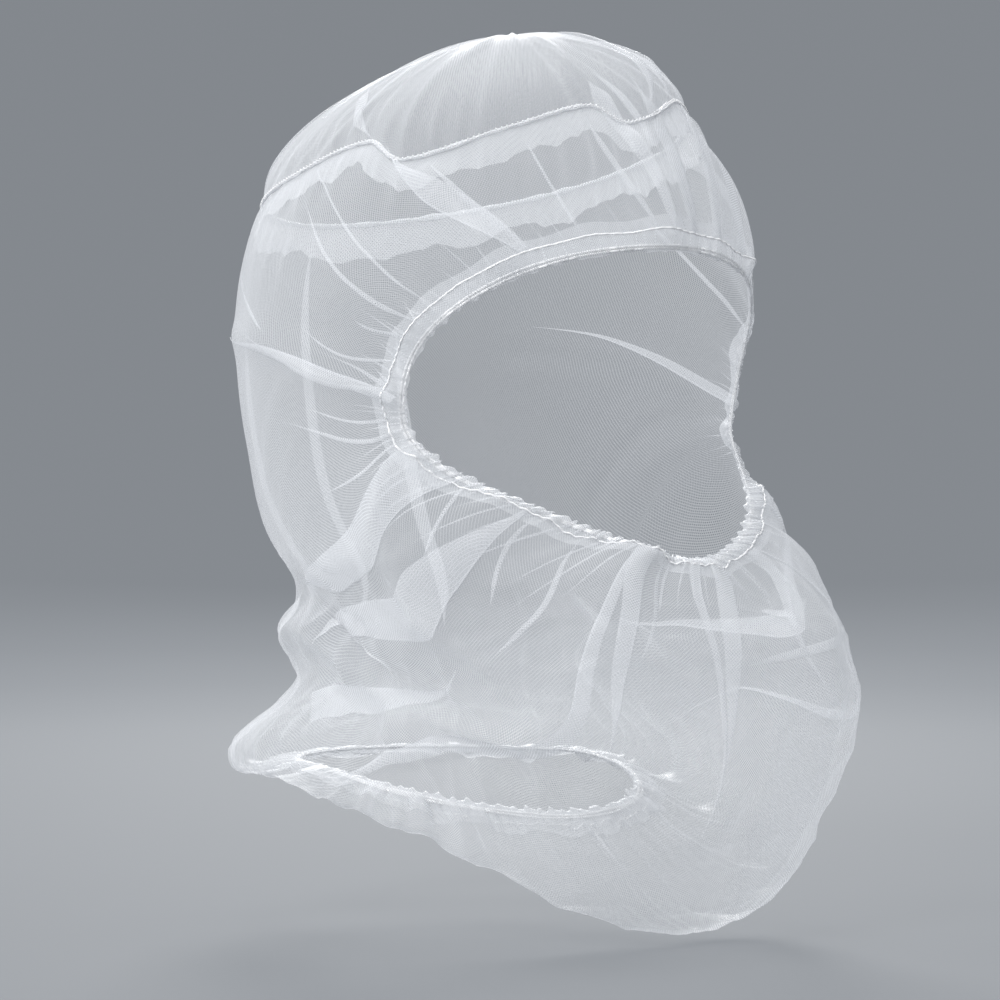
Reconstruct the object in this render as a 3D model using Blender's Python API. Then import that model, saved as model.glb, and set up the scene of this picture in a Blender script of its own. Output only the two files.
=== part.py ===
"""Micromesh hood: a sheer pull-on hood with a face opening, a bag in front of mouth and chin and a gathered neck.

Metres, +Z up, the face looks along -Y and the wearer's left is +X. The origin is on the inner face of the crown,
where the hood rests on top of the head.
"""

import bmesh
import bpy
import numpy as np

# Named sizes of the worn hood
HALF_WIDTH = 0.082
HOOD_DEPTH = 0.200
HOOD_HEIGHT = 0.300

# The head form that the upper hood is stretched over, as half axes about its own middle
HEAD_MIDDLE_Y = -0.008
HEAD_MIDDLE_Z = -0.098
HEAD_TO_FRONT = 0.084
HEAD_TO_BACK = 0.113
HEAD_TO_TOP = 0.098
HEAD_TO_BASE = 0.143
ON_HEAD_DOWN_TO = 0.617
ON_HEAD_FADE = 0.150

# Cloth, casings and elastics
WALL = 0.0010
CASING_DEPTH = 0.0080
CASING_WALL = 0.0010
CASING_ROOM = 0.0017
ELASTIC_DIAMETER = 0.0010
BEND_WALL = 0.0014
BEND_DEPTH = 0.0030
GAP = 0.0003
SEAM_ALLOWANCE = 0.0100
SEAM_WALL = 0.0010

# Crown seam: height at the middle of the head, and how much it falls to the back and to the wearer's right
SEAM_HEIGHT = -0.0435
SEAM_FALL_BACK = 0.155
SEAM_FALL_RIGHT = 0.050

# Gathers along the two elastics
GATHER_COUNT = 16
GATHER_RISE = 0.0012
GATHER_REACH = 0.07
HEM_RIPPLE = 0.0008

# Grid of the panels
AROUND = 64
ALONG = 25
CLOSER_ALONG = 1.25
CROWN_FIRST = 0.08
CROWN_LAST = 0.56
CROWN_ALONG = 13
ELASTIC_AROUND = AROUND
ELASTIC_SIDES = 5

# Rings from the face opening to the neck opening. Each ring goes over the head (top), past the sides and under
# the chin (low). y and z are shares of HOOD_DEPTH and HOOD_HEIGHT, side_x, bag_x and sway of HALF_WIDTH. full_top
# and full_low make a half of the ring squarer, flat_low flattens its front, round_top makes its back round, lift_low
# raises its lower corners, sway moves its low point to the wearer's left and bag_x is its half width in the bag.
RING_COLUMNS = (
    "along", "top_y", "top_z", "side_x", "side_y", "side_z", "low_y", "low_z",
    "full_top", "full_low", "flat_low", "round_top", "lift_low", "sway", "bag_x",
)
RINGS = (
    (0.00, -0.450, -0.257, 0.878, -0.210, -0.437, -0.505, -0.590, 0.20, -0.50, 0.0, 0.0, 0.0, 0.00, 0.878),
    (0.06, -0.425, -0.180, 0.951, -0.185, -0.440, -0.560, -0.623, 0.25, 0.25, 0.8, 0.0, 0.2, 0.01, 0.951),
    (0.15, -0.330, -0.080, 1.000, -0.140, -0.453, -0.608, -0.663, 0.25, 0.58, 1.0, 0.0, 0.5, 0.04, 0.994),
    (0.26, -0.100, 0.000, 1.010, -0.070, -0.477, -0.625, -0.710, 0.22, 0.60, 1.0, 0.0, 0.5, 0.06, 1.010),
    (0.36, 0.175, -0.020, 0.988, -0.010, -0.507, -0.628, -0.760, 0.20, 0.52, 1.0, 0.0, 0.4, 0.07, 1.010),
    (0.46, 0.410, -0.133, 0.945, 0.040, -0.547, -0.618, -0.807, 0.20, 0.44, 0.9, 0.0, 0.3, 0.09, 1.000),
    (0.56, 0.520, -0.283, 0.885, 0.070, -0.590, -0.603, -0.853, 0.15, 0.38, 0.8, 0.3, 0.2, 0.10, 0.988),
    (0.66, 0.495, -0.467, 0.805, 0.080, -0.627, -0.583, -0.893, 0.10, 0.34, 0.8, 0.7, 0.1, 0.11, 0.976),
    (0.74, 0.370, -0.620, 0.720, 0.080, -0.653, -0.560, -0.930, 0.00, 0.34, 0.7, 1.0, 0.0, 0.12, 0.963),
    (0.80, 0.395, -0.680, 0.817, 0.080, -0.687, -0.535, -0.960, 0.00, 0.30, 0.6, 1.0, 0.0, 0.14, 0.960),
    (0.86, 0.360, -0.740, 0.744, 0.075, -0.737, -0.490, -0.987, 0.00, 0.26, 0.5, 1.0, 0.0, 0.15, 0.965),
    (0.92, 0.480, -0.803, 1.000, 0.070, -0.810, -0.425, -1.003, 0.00, 0.12, 0.3, 1.0, 0.0, 0.16, 0.980),
    (0.96, 0.470, -0.837, 0.976, 0.070, -0.843, -0.335, -0.967, 0.00, 0.05, 0.0, 1.0, 0.0, 0.10, 0.900),
    (1.00, 0.360, -0.823, 0.707, 0.075, -0.830, -0.215, -0.873, 0.00, 0.00, 0.0, 1.0, 0.0, 0.00, 0.707),
)

# Folds. Each runs from ring share `first` to ring share `last`. around_first, around_mid and around_last say where
# it lies, in degrees from the wearer's left side over the top of the head. width and rise are shares of HALF_WIDTH.
FOLD_COLUMNS = ("name", "first", "last", "around_first", "around_mid", "around_last", "width", "rise")
FOLDS = (
    ("forehead_pleat", 0.00, 0.35, 90.0, 95.0, 105.0, 0.130, 0.045),
    ("forehead_band", 0.00, 0.35, 125.0, 130.0, 130.0, 0.140, 0.045),
    ("temple_pleat", 0.00, 0.40, 150.0, 150.0, 135.0, 0.140, 0.030),
    ("ear_band", 0.00, 0.55, 175.0, 165.0, 135.0, 0.150, 0.040),
    ("cheek_edge", 0.00, 0.60, 195.0, 195.0, 180.0, 0.150, 0.035),
    ("cheek_band", 0.00, 0.85, 215.0, 205.0, 185.0, 0.200, 0.050),
    ("jaw_band", 0.00, 0.95, 245.0, 230.0, 190.0, 0.170, 0.050),
    ("chin_pleat", 0.00, 0.75, 250.0, 245.0, 235.0, 0.160, 0.040),
    ("front_band", 0.00, 0.75, 270.0, 265.0, 260.0, 0.190, 0.040),
    ("front_side_pleat", 0.00, 0.45, 295.0, 285.0, 285.0, 0.170, 0.045),
    ("far_jaw_band", 0.00, 0.95, 310.0, 320.0, 350.0, 0.180, 0.045),
    ("far_cheek_band", 0.00, 0.85, 330.0, 340.0, 355.0, 0.180, 0.045),
    ("far_ear_band", 0.00, 0.55, 10.0, 15.0, 45.0, 0.150, 0.040),
    ("far_temple_pleat", 0.00, 0.40, 35.0, 35.0, 45.0, 0.140, 0.030),
    ("far_forehead_band", 0.00, 0.35, 60.0, 55.0, 50.0, 0.140, 0.040),
)

# Places where the crown stands off the head or sinks in. turn is in degrees from the front to the wearer's left,
# above is in degrees above the head's middle, spread in degrees, rise a share of HALF_WIDTH.
PUFF_COLUMNS = ("name", "turn", "above", "spread", "rise")
PUFFS = (
    ("front_puff", 25.0, 58.0, 30.0, 0.045),
    ("side_dent", -125.0, 62.0, 24.0, -0.030),
    ("nape_puff", 180.0, 5.0, 30.0, 0.012),
)


def smooth_step(share):
    """0 below 0, 1 above 1 and an even curve between."""
    share = np.clip(share, 0.0, 1.0)
    return share * share * (3.0 - 2.0 * share)


def through_points(at, places, values):
    """A smooth curve through a table's column, by cubic pieces that share their slopes."""
    slopes = np.empty_like(values)
    slopes[1:-1] = (values[2:] - values[:-2]) / (places[2:] - places[:-2])
    slopes[0] = (values[1] - values[0]) / (places[1] - places[0])
    slopes[-1] = (values[-1] - values[-2]) / (places[-1] - places[-2])
    piece = np.clip(np.searchsorted(places, at, side="right") - 1, 0, len(places) - 2)
    step = places[piece + 1] - places[piece]
    t = (at - places[piece]) / step
    start = (1 + 2 * t) * (1 - t) ** 2 * values[piece]
    end = t * t * (3 - 2 * t) * values[piece + 1]
    bend = t * (1 - t) ** 2 * step * slopes[piece] + t * t * (t - 1) * step * slopes[piece + 1]
    return start + end + bend


def ring_values(along):
    """Each column of the ring table at the shares `along`, in metres where it is a length."""
    table = np.array(RINGS)
    scale = {"x": HALF_WIDTH, "y": HOOD_DEPTH, "z": HOOD_HEIGHT}
    values = {}
    for column, name in enumerate(RING_COLUMNS[1:], start=1):
        size = HALF_WIDTH if name == "sway" else scale.get(name[-1], 1.0) if name[-2] == "_" else 1.0
        values[name] = through_points(along, table[:, 0], table[:, column]) * size
    return values


def onto_head(x, y, z):
    """The points moved straight away from the head's middle onto the head form, with its puffs and dents."""
    dy = y - HEAD_MIDDLE_Y
    dz = z - HEAD_MIDDLE_Z
    depth = np.where(dy < 0, HEAD_TO_FRONT, HEAD_TO_BACK)
    height = np.where(dz > 0, HEAD_TO_TOP, HEAD_TO_BASE)
    stretch = 1.0 / np.sqrt((x / HALF_WIDTH) ** 2 + (dy / depth) ** 2 + (dz / height) ** 2)
    length = np.sqrt(x * x + dy * dy + dz * dz)
    rise = np.zeros_like(x)
    for _name, turn, above, spread, share in PUFFS:
        turn, above, spread = np.radians((turn, above, spread))
        facing = (x * np.sin(turn) - dy * np.cos(turn)) * np.cos(above) + dz * np.sin(above)
        away = np.arccos(np.clip(facing / length, -1.0, 1.0))
        rise = rise + share * HALF_WIDTH * np.exp(-((away / spread) ** 2))
    stretch = stretch + rise / length
    return x * stretch, HEAD_MIDDLE_Y + dy * stretch, HEAD_MIDDLE_Z + dz * stretch


def base_surface(around, along):
    """The hood without folds. around is in turns from the wearer's left over the top, along runs 0 to 1."""
    ring = ring_values(along)
    across = np.cos(2 * np.pi * around)
    over = np.sin(2 * np.pi * around)
    below = over < 0
    full = np.where(below, ring["full_low"], ring["full_top"])
    wide = across * (1 + full * over * over)
    deep = over * (1 + np.where(below, np.maximum(ring["full_low"], 0.0), 0.0) * across * across)
    flat = np.where(below, ring["flat_low"], 0.0) * smooth_step(-over / 0.5)
    sweep = wide * wide * (1 - flat + flat * wide * wide)
    lift = across * across * (1 + np.where(below, ring["lift_low"] * over * over, 0.0))
    middle_y = (ring["top_y"] + ring["low_y"]) / 2
    middle_z = (ring["top_z"] + ring["low_z"]) / 2
    half_width = ring["side_x"] + (ring["bag_x"] - ring["side_x"]) * smooth_step(-over / 0.6)
    x = half_width * wide + ring["sway"] * smooth_step(-over / 0.9)
    y = middle_y + (ring["top_y"] - middle_y) * deep + (ring["side_y"] - middle_y) * sweep
    z = middle_z + (ring["top_z"] - middle_z) * over + (ring["side_z"] - middle_z) * lift
    rounder = ring["round_top"] * smooth_step(over / 0.6)
    y = y + rounder * (ring["side_y"] + (ring["top_y"] - ring["side_y"]) * over - y)
    z = z + rounder * (ring["side_z"] + (ring["top_z"] - ring["side_z"]) * over - z)
    on_head = smooth_step((z / HOOD_HEIGHT + ON_HEAD_DOWN_TO) / ON_HEAD_FADE) * smooth_step((over + 0.3) / 0.4)
    head_x, head_y, head_z = onto_head(x, y, z)
    moved = (x + (head_x - x) * on_head, y + (head_y - y) * on_head, z + (head_z - z) * on_head)
    return np.stack(moved, axis=-1)


def base_slopes(around, along):
    """Unit outward normal, and the length of one turn around, at each point of the base surface."""
    step = 1e-4
    by_around = (base_surface(around + step, along) - base_surface(around - step, along)) / (2 * step)
    before = np.clip(along - step, 0.0, 1.0)
    after = np.clip(along + step, 0.0, 1.0)
    by_along = (base_surface(around, after) - base_surface(around, before)) / (after - before)[..., None]
    normal = np.cross(by_around, by_along)
    normal /= np.linalg.norm(normal, axis=-1, keepdims=True)
    return -normal, np.linalg.norm(by_around, axis=-1)


def fold_rise(around, along, turn_length):
    """How far the folds and gathers lift the cloth outward."""
    rise = np.zeros_like(along)
    for _name, first, last, start, middle, end, width, height in FOLDS:
        t = np.clip((along - first) / (last - first), 0.0, 1.0)
        path = start * (1 - t) * (1 - 2 * t) + 4 * middle * t * (1 - t) + end * t * (2 * t - 1)
        off = (around - path / 360.0 + 0.5) % 1.0 - 0.5
        reach = off * turn_length / (width * HALF_WIDTH)
        ends = smooth_step((along - first + 0.03) / 0.06) * smooth_step((last - along) / 0.12)
        rise = rise + height * HALF_WIDTH * np.exp(-reach * reach) * ends
    wave = np.cos(2 * np.pi * GATHER_COUNT * around)
    near = np.exp(-along / GATHER_REACH) + np.exp(-(1 - along) / GATHER_REACH)
    return rise + GATHER_RISE * wave * near


def hood_surface(around, along, off=0.0):
    """The folded hood, moved outward by `off`."""
    normal, turn_length = base_slopes(around, along)
    lift = fold_rise(around, along, turn_length) + off
    return base_surface(around, along) + normal * lift[..., None]


def share_at_depth(around, depth, from_neck):
    """The ring share that lies `depth` in from an opening's edge, for each place around it."""
    steps = np.linspace(0.0, 0.25, 251)
    along = 1.0 - steps if from_neck else steps
    line = base_surface(around[:, None] + 0.0 * along, 0.0 * around[:, None] + along)
    run = np.cumsum(np.linalg.norm(np.diff(line, axis=1), axis=-1), axis=1)
    run = np.concatenate([np.zeros((len(around), 1)), run], axis=1)
    found = np.array([np.interp(depth, row, steps) for row in run])
    return 1.0 - found if from_neck else found


def new_object(name, points, faces, material):
    """A mesh object of its own from points and faces, shaded smooth, with its faces turned outward."""
    mesh = bpy.data.meshes.new(name)
    mesh.from_pydata([tuple(point) for point in points], [], faces)
    mesh.validate()
    work = bmesh.new()
    work.from_mesh(mesh)
    bmesh.ops.recalc_face_normals(work, faces=work.faces)
    work.to_mesh(mesh)
    work.free()
    for polygon in mesh.polygons:
        polygon.use_smooth = True
    mesh.materials.append(material)
    made = bpy.data.objects.new(name, mesh)
    bpy.context.scene.collection.objects.link(made)
    return made


def new_material(name, colour, roughness, alpha=1.0):
    """A plain material."""
    material = bpy.data.materials.new(name)
    material.use_nodes = True
    shader = material.node_tree.nodes["Principled BSDF"]
    shader.inputs["Base Color"].default_value = (*colour, 1.0)
    shader.inputs["Roughness"].default_value = roughness
    shader.inputs["Metallic"].default_value = 0.0
    shader.inputs["Alpha"].default_value = alpha
    return material


def wall_solid(name, outer, inner, material):
    """A closed wall between two grids of the same size that go once around, with a rim at each end."""
    turns, rows = outer.shape[:2]
    points = np.concatenate([outer.reshape(-1, 3), inner.reshape(-1, 3)])
    half = turns * rows
    faces = []
    for i in range(turns):
        j = (i + 1) % turns
        for k in range(rows - 1):
            a, b, c, d = i * rows + k, i * rows + k + 1, j * rows + k + 1, j * rows + k
            faces.extend(((a, b, c), (a, c, d)))
            faces.extend(((half + a, half + c, half + b), (half + a, half + d, half + c)))
        for k in (0, rows - 1):
            a, d = i * rows + k, j * rows + k
            faces.append((a, d, half + d, half + a))
    return new_object(name, points, faces, material)


def ring_solid(name, sections, material):
    """A closed ring from sections: places around by corners of the section by three."""
    turns, corners = sections.shape[:2]
    faces = []
    for i in range(turns):
        j = (i + 1) % turns
        for k in range(corners):
            m = (k + 1) % corners
            faces.append((i * corners + k, i * corners + m, j * corners + m, j * corners + k))
    return new_object(name, sections.reshape(-1, 3), faces, material)


def cut(target, cutter, operation):
    """Cuts or keeps what lies in the cutter, and takes the cutter away."""
    modifier = target.modifiers.new("cut", "BOOLEAN")
    modifier.operation = operation
    modifier.solver = "EXACT"
    modifier.object = cutter
    bpy.context.view_layer.update()
    depsgraph = bpy.context.evaluated_depsgraph_get()
    mesh = bpy.data.meshes.new_from_object(target.evaluated_get(depsgraph))
    target.modifiers.clear()
    old = target.data
    target.data = mesh
    mesh.name = target.name
    bpy.data.meshes.remove(old)
    bpy.data.objects.remove(cutter)


def seam_slab(low, high):
    """A block between two levels below or above the plane of the crown seam."""
    reach = HOOD_HEIGHT
    points = []
    for level in (low, high):
        for x, y in ((-reach, -reach), (reach, -reach), (reach, reach), (-reach, reach)):
            points.append((x, y, SEAM_HEIGHT - SEAM_FALL_BACK * y + SEAM_FALL_RIGHT * x + level))
    faces = [(3, 2, 1, 0), (4, 5, 6, 7), (0, 1, 5, 4), (1, 2, 6, 5), (2, 3, 7, 6), (3, 0, 4, 7)]
    slab = new_object("seam_slab", points, faces, bpy.data.materials["mesh_cloth"])
    slab.hide_render = True
    slab.display_type = "WIRE"
    return slab


def panel_shell(name, along, off, wall, material):
    """The folded hood over the ring shares `along`, one row of them for each place around, as one closed wall."""
    turn = np.arange(AROUND)[:, None] / AROUND + 0.0 * along
    return wall_solid(name, hood_surface(turn, along, off + wall), hood_surface(turn, along, off), material)


def between_casings():
    """The ring shares of the body panel's grid, from casing to casing and closer together near the neck."""
    around = np.arange(AROUND) / AROUND
    first = share_at_depth(around, CASING_DEPTH + GAP, False)
    last = share_at_depth(around, CASING_DEPTH + GAP, True)
    t = 1.0 - np.linspace(1.0, 0.0, ALONG) ** CLOSER_ALONG
    return first[:, None] + (last - first)[:, None] * t


def over_crown():
    """The ring shares of the grid that the crown panel and the seam band are cut from."""
    return np.tile(np.linspace(CROWN_FIRST, CROWN_LAST, CROWN_ALONG), (AROUND, 1))


def edge_frames(around, from_neck):
    """At each place around an opening: its edge point, the way into the cloth and the way outward."""
    at_edge = np.full_like(around, 1.0 if from_neck else 0.0)
    inside = share_at_depth(around, CASING_DEPTH, from_neck)
    edge = base_surface(around, at_edge)
    inward = base_surface(around, inside) - edge
    inward /= np.linalg.norm(inward, axis=-1, keepdims=True)
    middle = at_edge + (inside - at_edge) * 0.5
    outward, _length = base_slopes(around, middle)
    outward = outward - inward * np.sum(outward * inward, axis=-1, keepdims=True)
    outward /= np.linalg.norm(outward, axis=-1, keepdims=True)
    return edge, inward, outward


def casing(name, from_neck, material):
    """A gathered casing: a channel bent round the edge, open towards the panel, that holds the elastic."""
    around = np.arange(AROUND) / AROUND
    edge, inward, outward = edge_frames(around, from_neck)
    room = CASING_ROOM / 2
    wall = room + CASING_WALL
    middle = WALL / 2
    profile = [
        (CASING_DEPTH, wall, 1.0), (BEND_DEPTH, wall, 0.1), (0.0, wall * 0.4, 0.0), (0.0, -wall * 0.4, 0.0),
        (BEND_DEPTH, -wall, 0.1), (CASING_DEPTH, -wall, 1.0),
        (CASING_DEPTH, -room, 1.0), (BEND_WALL, -room, 0.0), (BEND_WALL, room, 0.0),
        (CASING_DEPTH, room, 1.0),
    ]
    wave = HEM_RIPPLE * np.cos(2 * np.pi * GATHER_COUNT * around)
    sections = []
    for depth, off, ripple in profile:
        lift = middle + off + wave * ripple
        sections.append(edge + inward * depth + outward * lift[:, None])
    return ring_solid(name, np.stack(sections, axis=1), material)


def elastic(name, from_neck, material):
    """The round elastic strand that lies in the bend of a casing."""
    around = np.arange(ELASTIC_AROUND) / ELASTIC_AROUND
    edge, inward, outward = edge_frames(around, from_neck)
    radius = ELASTIC_DIAMETER / 2
    depth = BEND_WALL + GAP + radius
    sections = []
    for side in range(ELASTIC_SIDES):
        turn = 2 * np.pi * side / ELASTIC_SIDES
        into = depth + radius * np.cos(turn)
        lift = WALL / 2 + radius * np.sin(turn)
        sections.append(edge + inward * into + outward * lift)
    return ring_solid(name, np.stack(sections, axis=1), material)


def main():
    for old in list(bpy.data.objects):
        bpy.data.objects.remove(old)
    cloth = new_material("mesh_cloth", (0.86, 0.87, 0.89), 0.55, 0.45)
    crown_cloth = new_material("crown_cloth", (0.86, 0.87, 0.89), 0.55, 0.45)
    seam_cloth = new_material("seam_cloth", (0.93, 0.93, 0.95), 0.60, 0.70)
    hem_cloth = new_material("hem_cloth", (0.92, 0.92, 0.94), 0.60, 0.75)
    elastic_white = new_material("elastic_white", (0.95, 0.95, 0.96), 0.50)

    body = panel_shell("hood_panel", between_casings(), 0.0, WALL, cloth)
    cut(body, seam_slab(-GAP / 2, HOOD_DEPTH), "DIFFERENCE")
    crown = panel_shell("crown_panel", over_crown(), 0.0, WALL, crown_cloth)
    cut(crown, seam_slab(GAP / 2, HOOD_DEPTH), "INTERSECT")
    seam = panel_shell("crown_seam", between_casings(), -GAP - SEAM_WALL, SEAM_WALL, seam_cloth)
    cut(seam, seam_slab(-SEAM_ALLOWANCE, -GAP), "INTERSECT")
    casing("face_casing", False, hem_cloth)
    elastic("face_elastic", False, elastic_white)
    casing("neck_casing", True, hem_cloth)
    elastic("neck_elastic", True, elastic_white)


main()
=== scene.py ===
"""Micromesh hood, dressed: sheer white mesh with pleats and gathers, hems, seams, stitches and elastics."""

import logging
from dataclasses import dataclass
from enum import Enum
from typing import Sequence

import bpy
import numpy as np
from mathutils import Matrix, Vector


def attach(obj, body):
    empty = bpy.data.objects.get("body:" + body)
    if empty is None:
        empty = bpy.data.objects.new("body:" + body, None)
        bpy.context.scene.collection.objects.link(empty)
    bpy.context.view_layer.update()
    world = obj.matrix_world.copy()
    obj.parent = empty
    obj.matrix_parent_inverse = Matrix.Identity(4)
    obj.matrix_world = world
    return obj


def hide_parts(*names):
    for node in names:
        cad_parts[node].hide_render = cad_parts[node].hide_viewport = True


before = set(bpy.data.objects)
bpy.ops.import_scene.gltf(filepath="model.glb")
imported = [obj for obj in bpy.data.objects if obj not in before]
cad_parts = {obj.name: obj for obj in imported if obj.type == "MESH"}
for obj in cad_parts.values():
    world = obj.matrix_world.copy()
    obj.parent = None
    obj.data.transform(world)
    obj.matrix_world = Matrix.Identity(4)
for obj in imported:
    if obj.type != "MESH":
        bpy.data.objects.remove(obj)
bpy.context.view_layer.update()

logging.basicConfig(level=logging.INFO, format="%(message)s")
LOG = logging.getLogger("hood")

Array = np.ndarray

TURN = 2 * np.pi
UV_SPAN = 0.7
FOLD_ANGLE = np.radians(100.0)


class Opening(Enum):
    """The two openings that are drawn in by an elastic."""

    FACE = 0
    NECK = 1


class Side(Enum):
    """The way a pleat is laid over, seen along its path with the cloth's outside up."""

    LEFT = 1
    RIGHT = -1


def smooth_step(share: Array) -> Array:
    """An even curve from 0 to 1: 3 s squared less 2 s cubed, with s held between 0 and 1.

    Args:
        share: how far along.

    Returns:
        The eased share.
    """
    share = np.clip(share, 0.0, 1.0)
    return share * share * (3.0 - 2.0 * share)


def through_points(at: Array, places: Array, values: Array) -> Array:
    """A smooth curve through a table's column, by cubic pieces that share their slopes.

    Args:
        at: where to read the curve.
        places: the rows' places, rising.
        values: the rows' values.

    Returns:
        The curve's values.
    """
    slopes = np.empty_like(values)
    slopes[1:-1] = (values[2:] - values[:-2]) / (places[2:] - places[:-2])
    slopes[0] = (values[1] - values[0]) / (places[1] - places[0])
    slopes[-1] = (values[-1] - values[-2]) / (places[-1] - places[-2])
    piece = np.clip(np.searchsorted(places, at, side="right") - 1, 0, len(places) - 2)
    step = places[piece + 1] - places[piece]
    t = (at - places[piece]) / step
    start = (1 + 2 * t) * (1 - t) ** 2 * values[piece]
    end = t * t * (3 - 2 * t) * values[piece + 1]
    bend = t * (1 - t) ** 2 * step * slopes[piece] + t * t * (t - 1) * step * slopes[piece + 1]
    return start + end + bend


def unit(vectors: Array) -> Array:
    """The vectors at length one."""
    return vectors / np.maximum(np.linalg.norm(vectors, axis=-1, keepdims=True), 1e-12)


def run_mean(rows: Array, reach: int) -> Array:
    """Each row's mean with its neighbours on both sides, fewer of them near the ends.

    Args:
        rows: values, one row a place.
        reach: neighbours on each side.

    Returns:
        The means.
    """
    total = np.concatenate([np.zeros_like(rows[:1]), np.cumsum(rows, axis=0)])
    place = np.arange(len(rows))
    near = np.minimum(np.minimum(place, len(rows) - 1 - place), reach)
    count = (2 * near + 1).reshape((-1,) + (1,) * (rows.ndim - 1))
    return (total[place + near + 1] - total[place - near]) / count


def wander(at: Array, seed: int, first: int, last: int) -> Array:
    """A smooth seeded line round a closed ring, about 1 high at most: sines with whole numbers of waves.

    Args:
        at: places around, in turns.
        seed: which line.
        first: the fewest waves.
        last: the most waves.

    Returns:
        The line's values.
    """
    rng = np.random.default_rng(seed)
    total = np.zeros_like(at)
    for waves in range(first, last + 1):
        total = total + rng.uniform(0.4, 1.0) * np.sin(TURN * (waves * at + rng.uniform()))
    return total / np.sqrt(last - first + 1)


def ripple(around: Array, waves: int, seed: int) -> Array:
    """Uneven gathers around a ring: a cosine whose phase and height wander, with a sharper second wave on it.

    Args:
        around: places around, in turns.
        waves: about how many gathers there are.
        seed: which set.

    Returns:
        Heights of about -1 to 1.
    """
    phase = TURN * waves * around + 2.4 * wander(around, seed, 2, 7)
    size = np.clip(0.62 + 0.42 * wander(around, seed + 50, 3, 15), 0.08, 1.3)
    return size * (0.8 * np.cos(phase) + 0.3 * np.cos(2 * phase + wander(around, seed + 90, 2, 5)))


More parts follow.
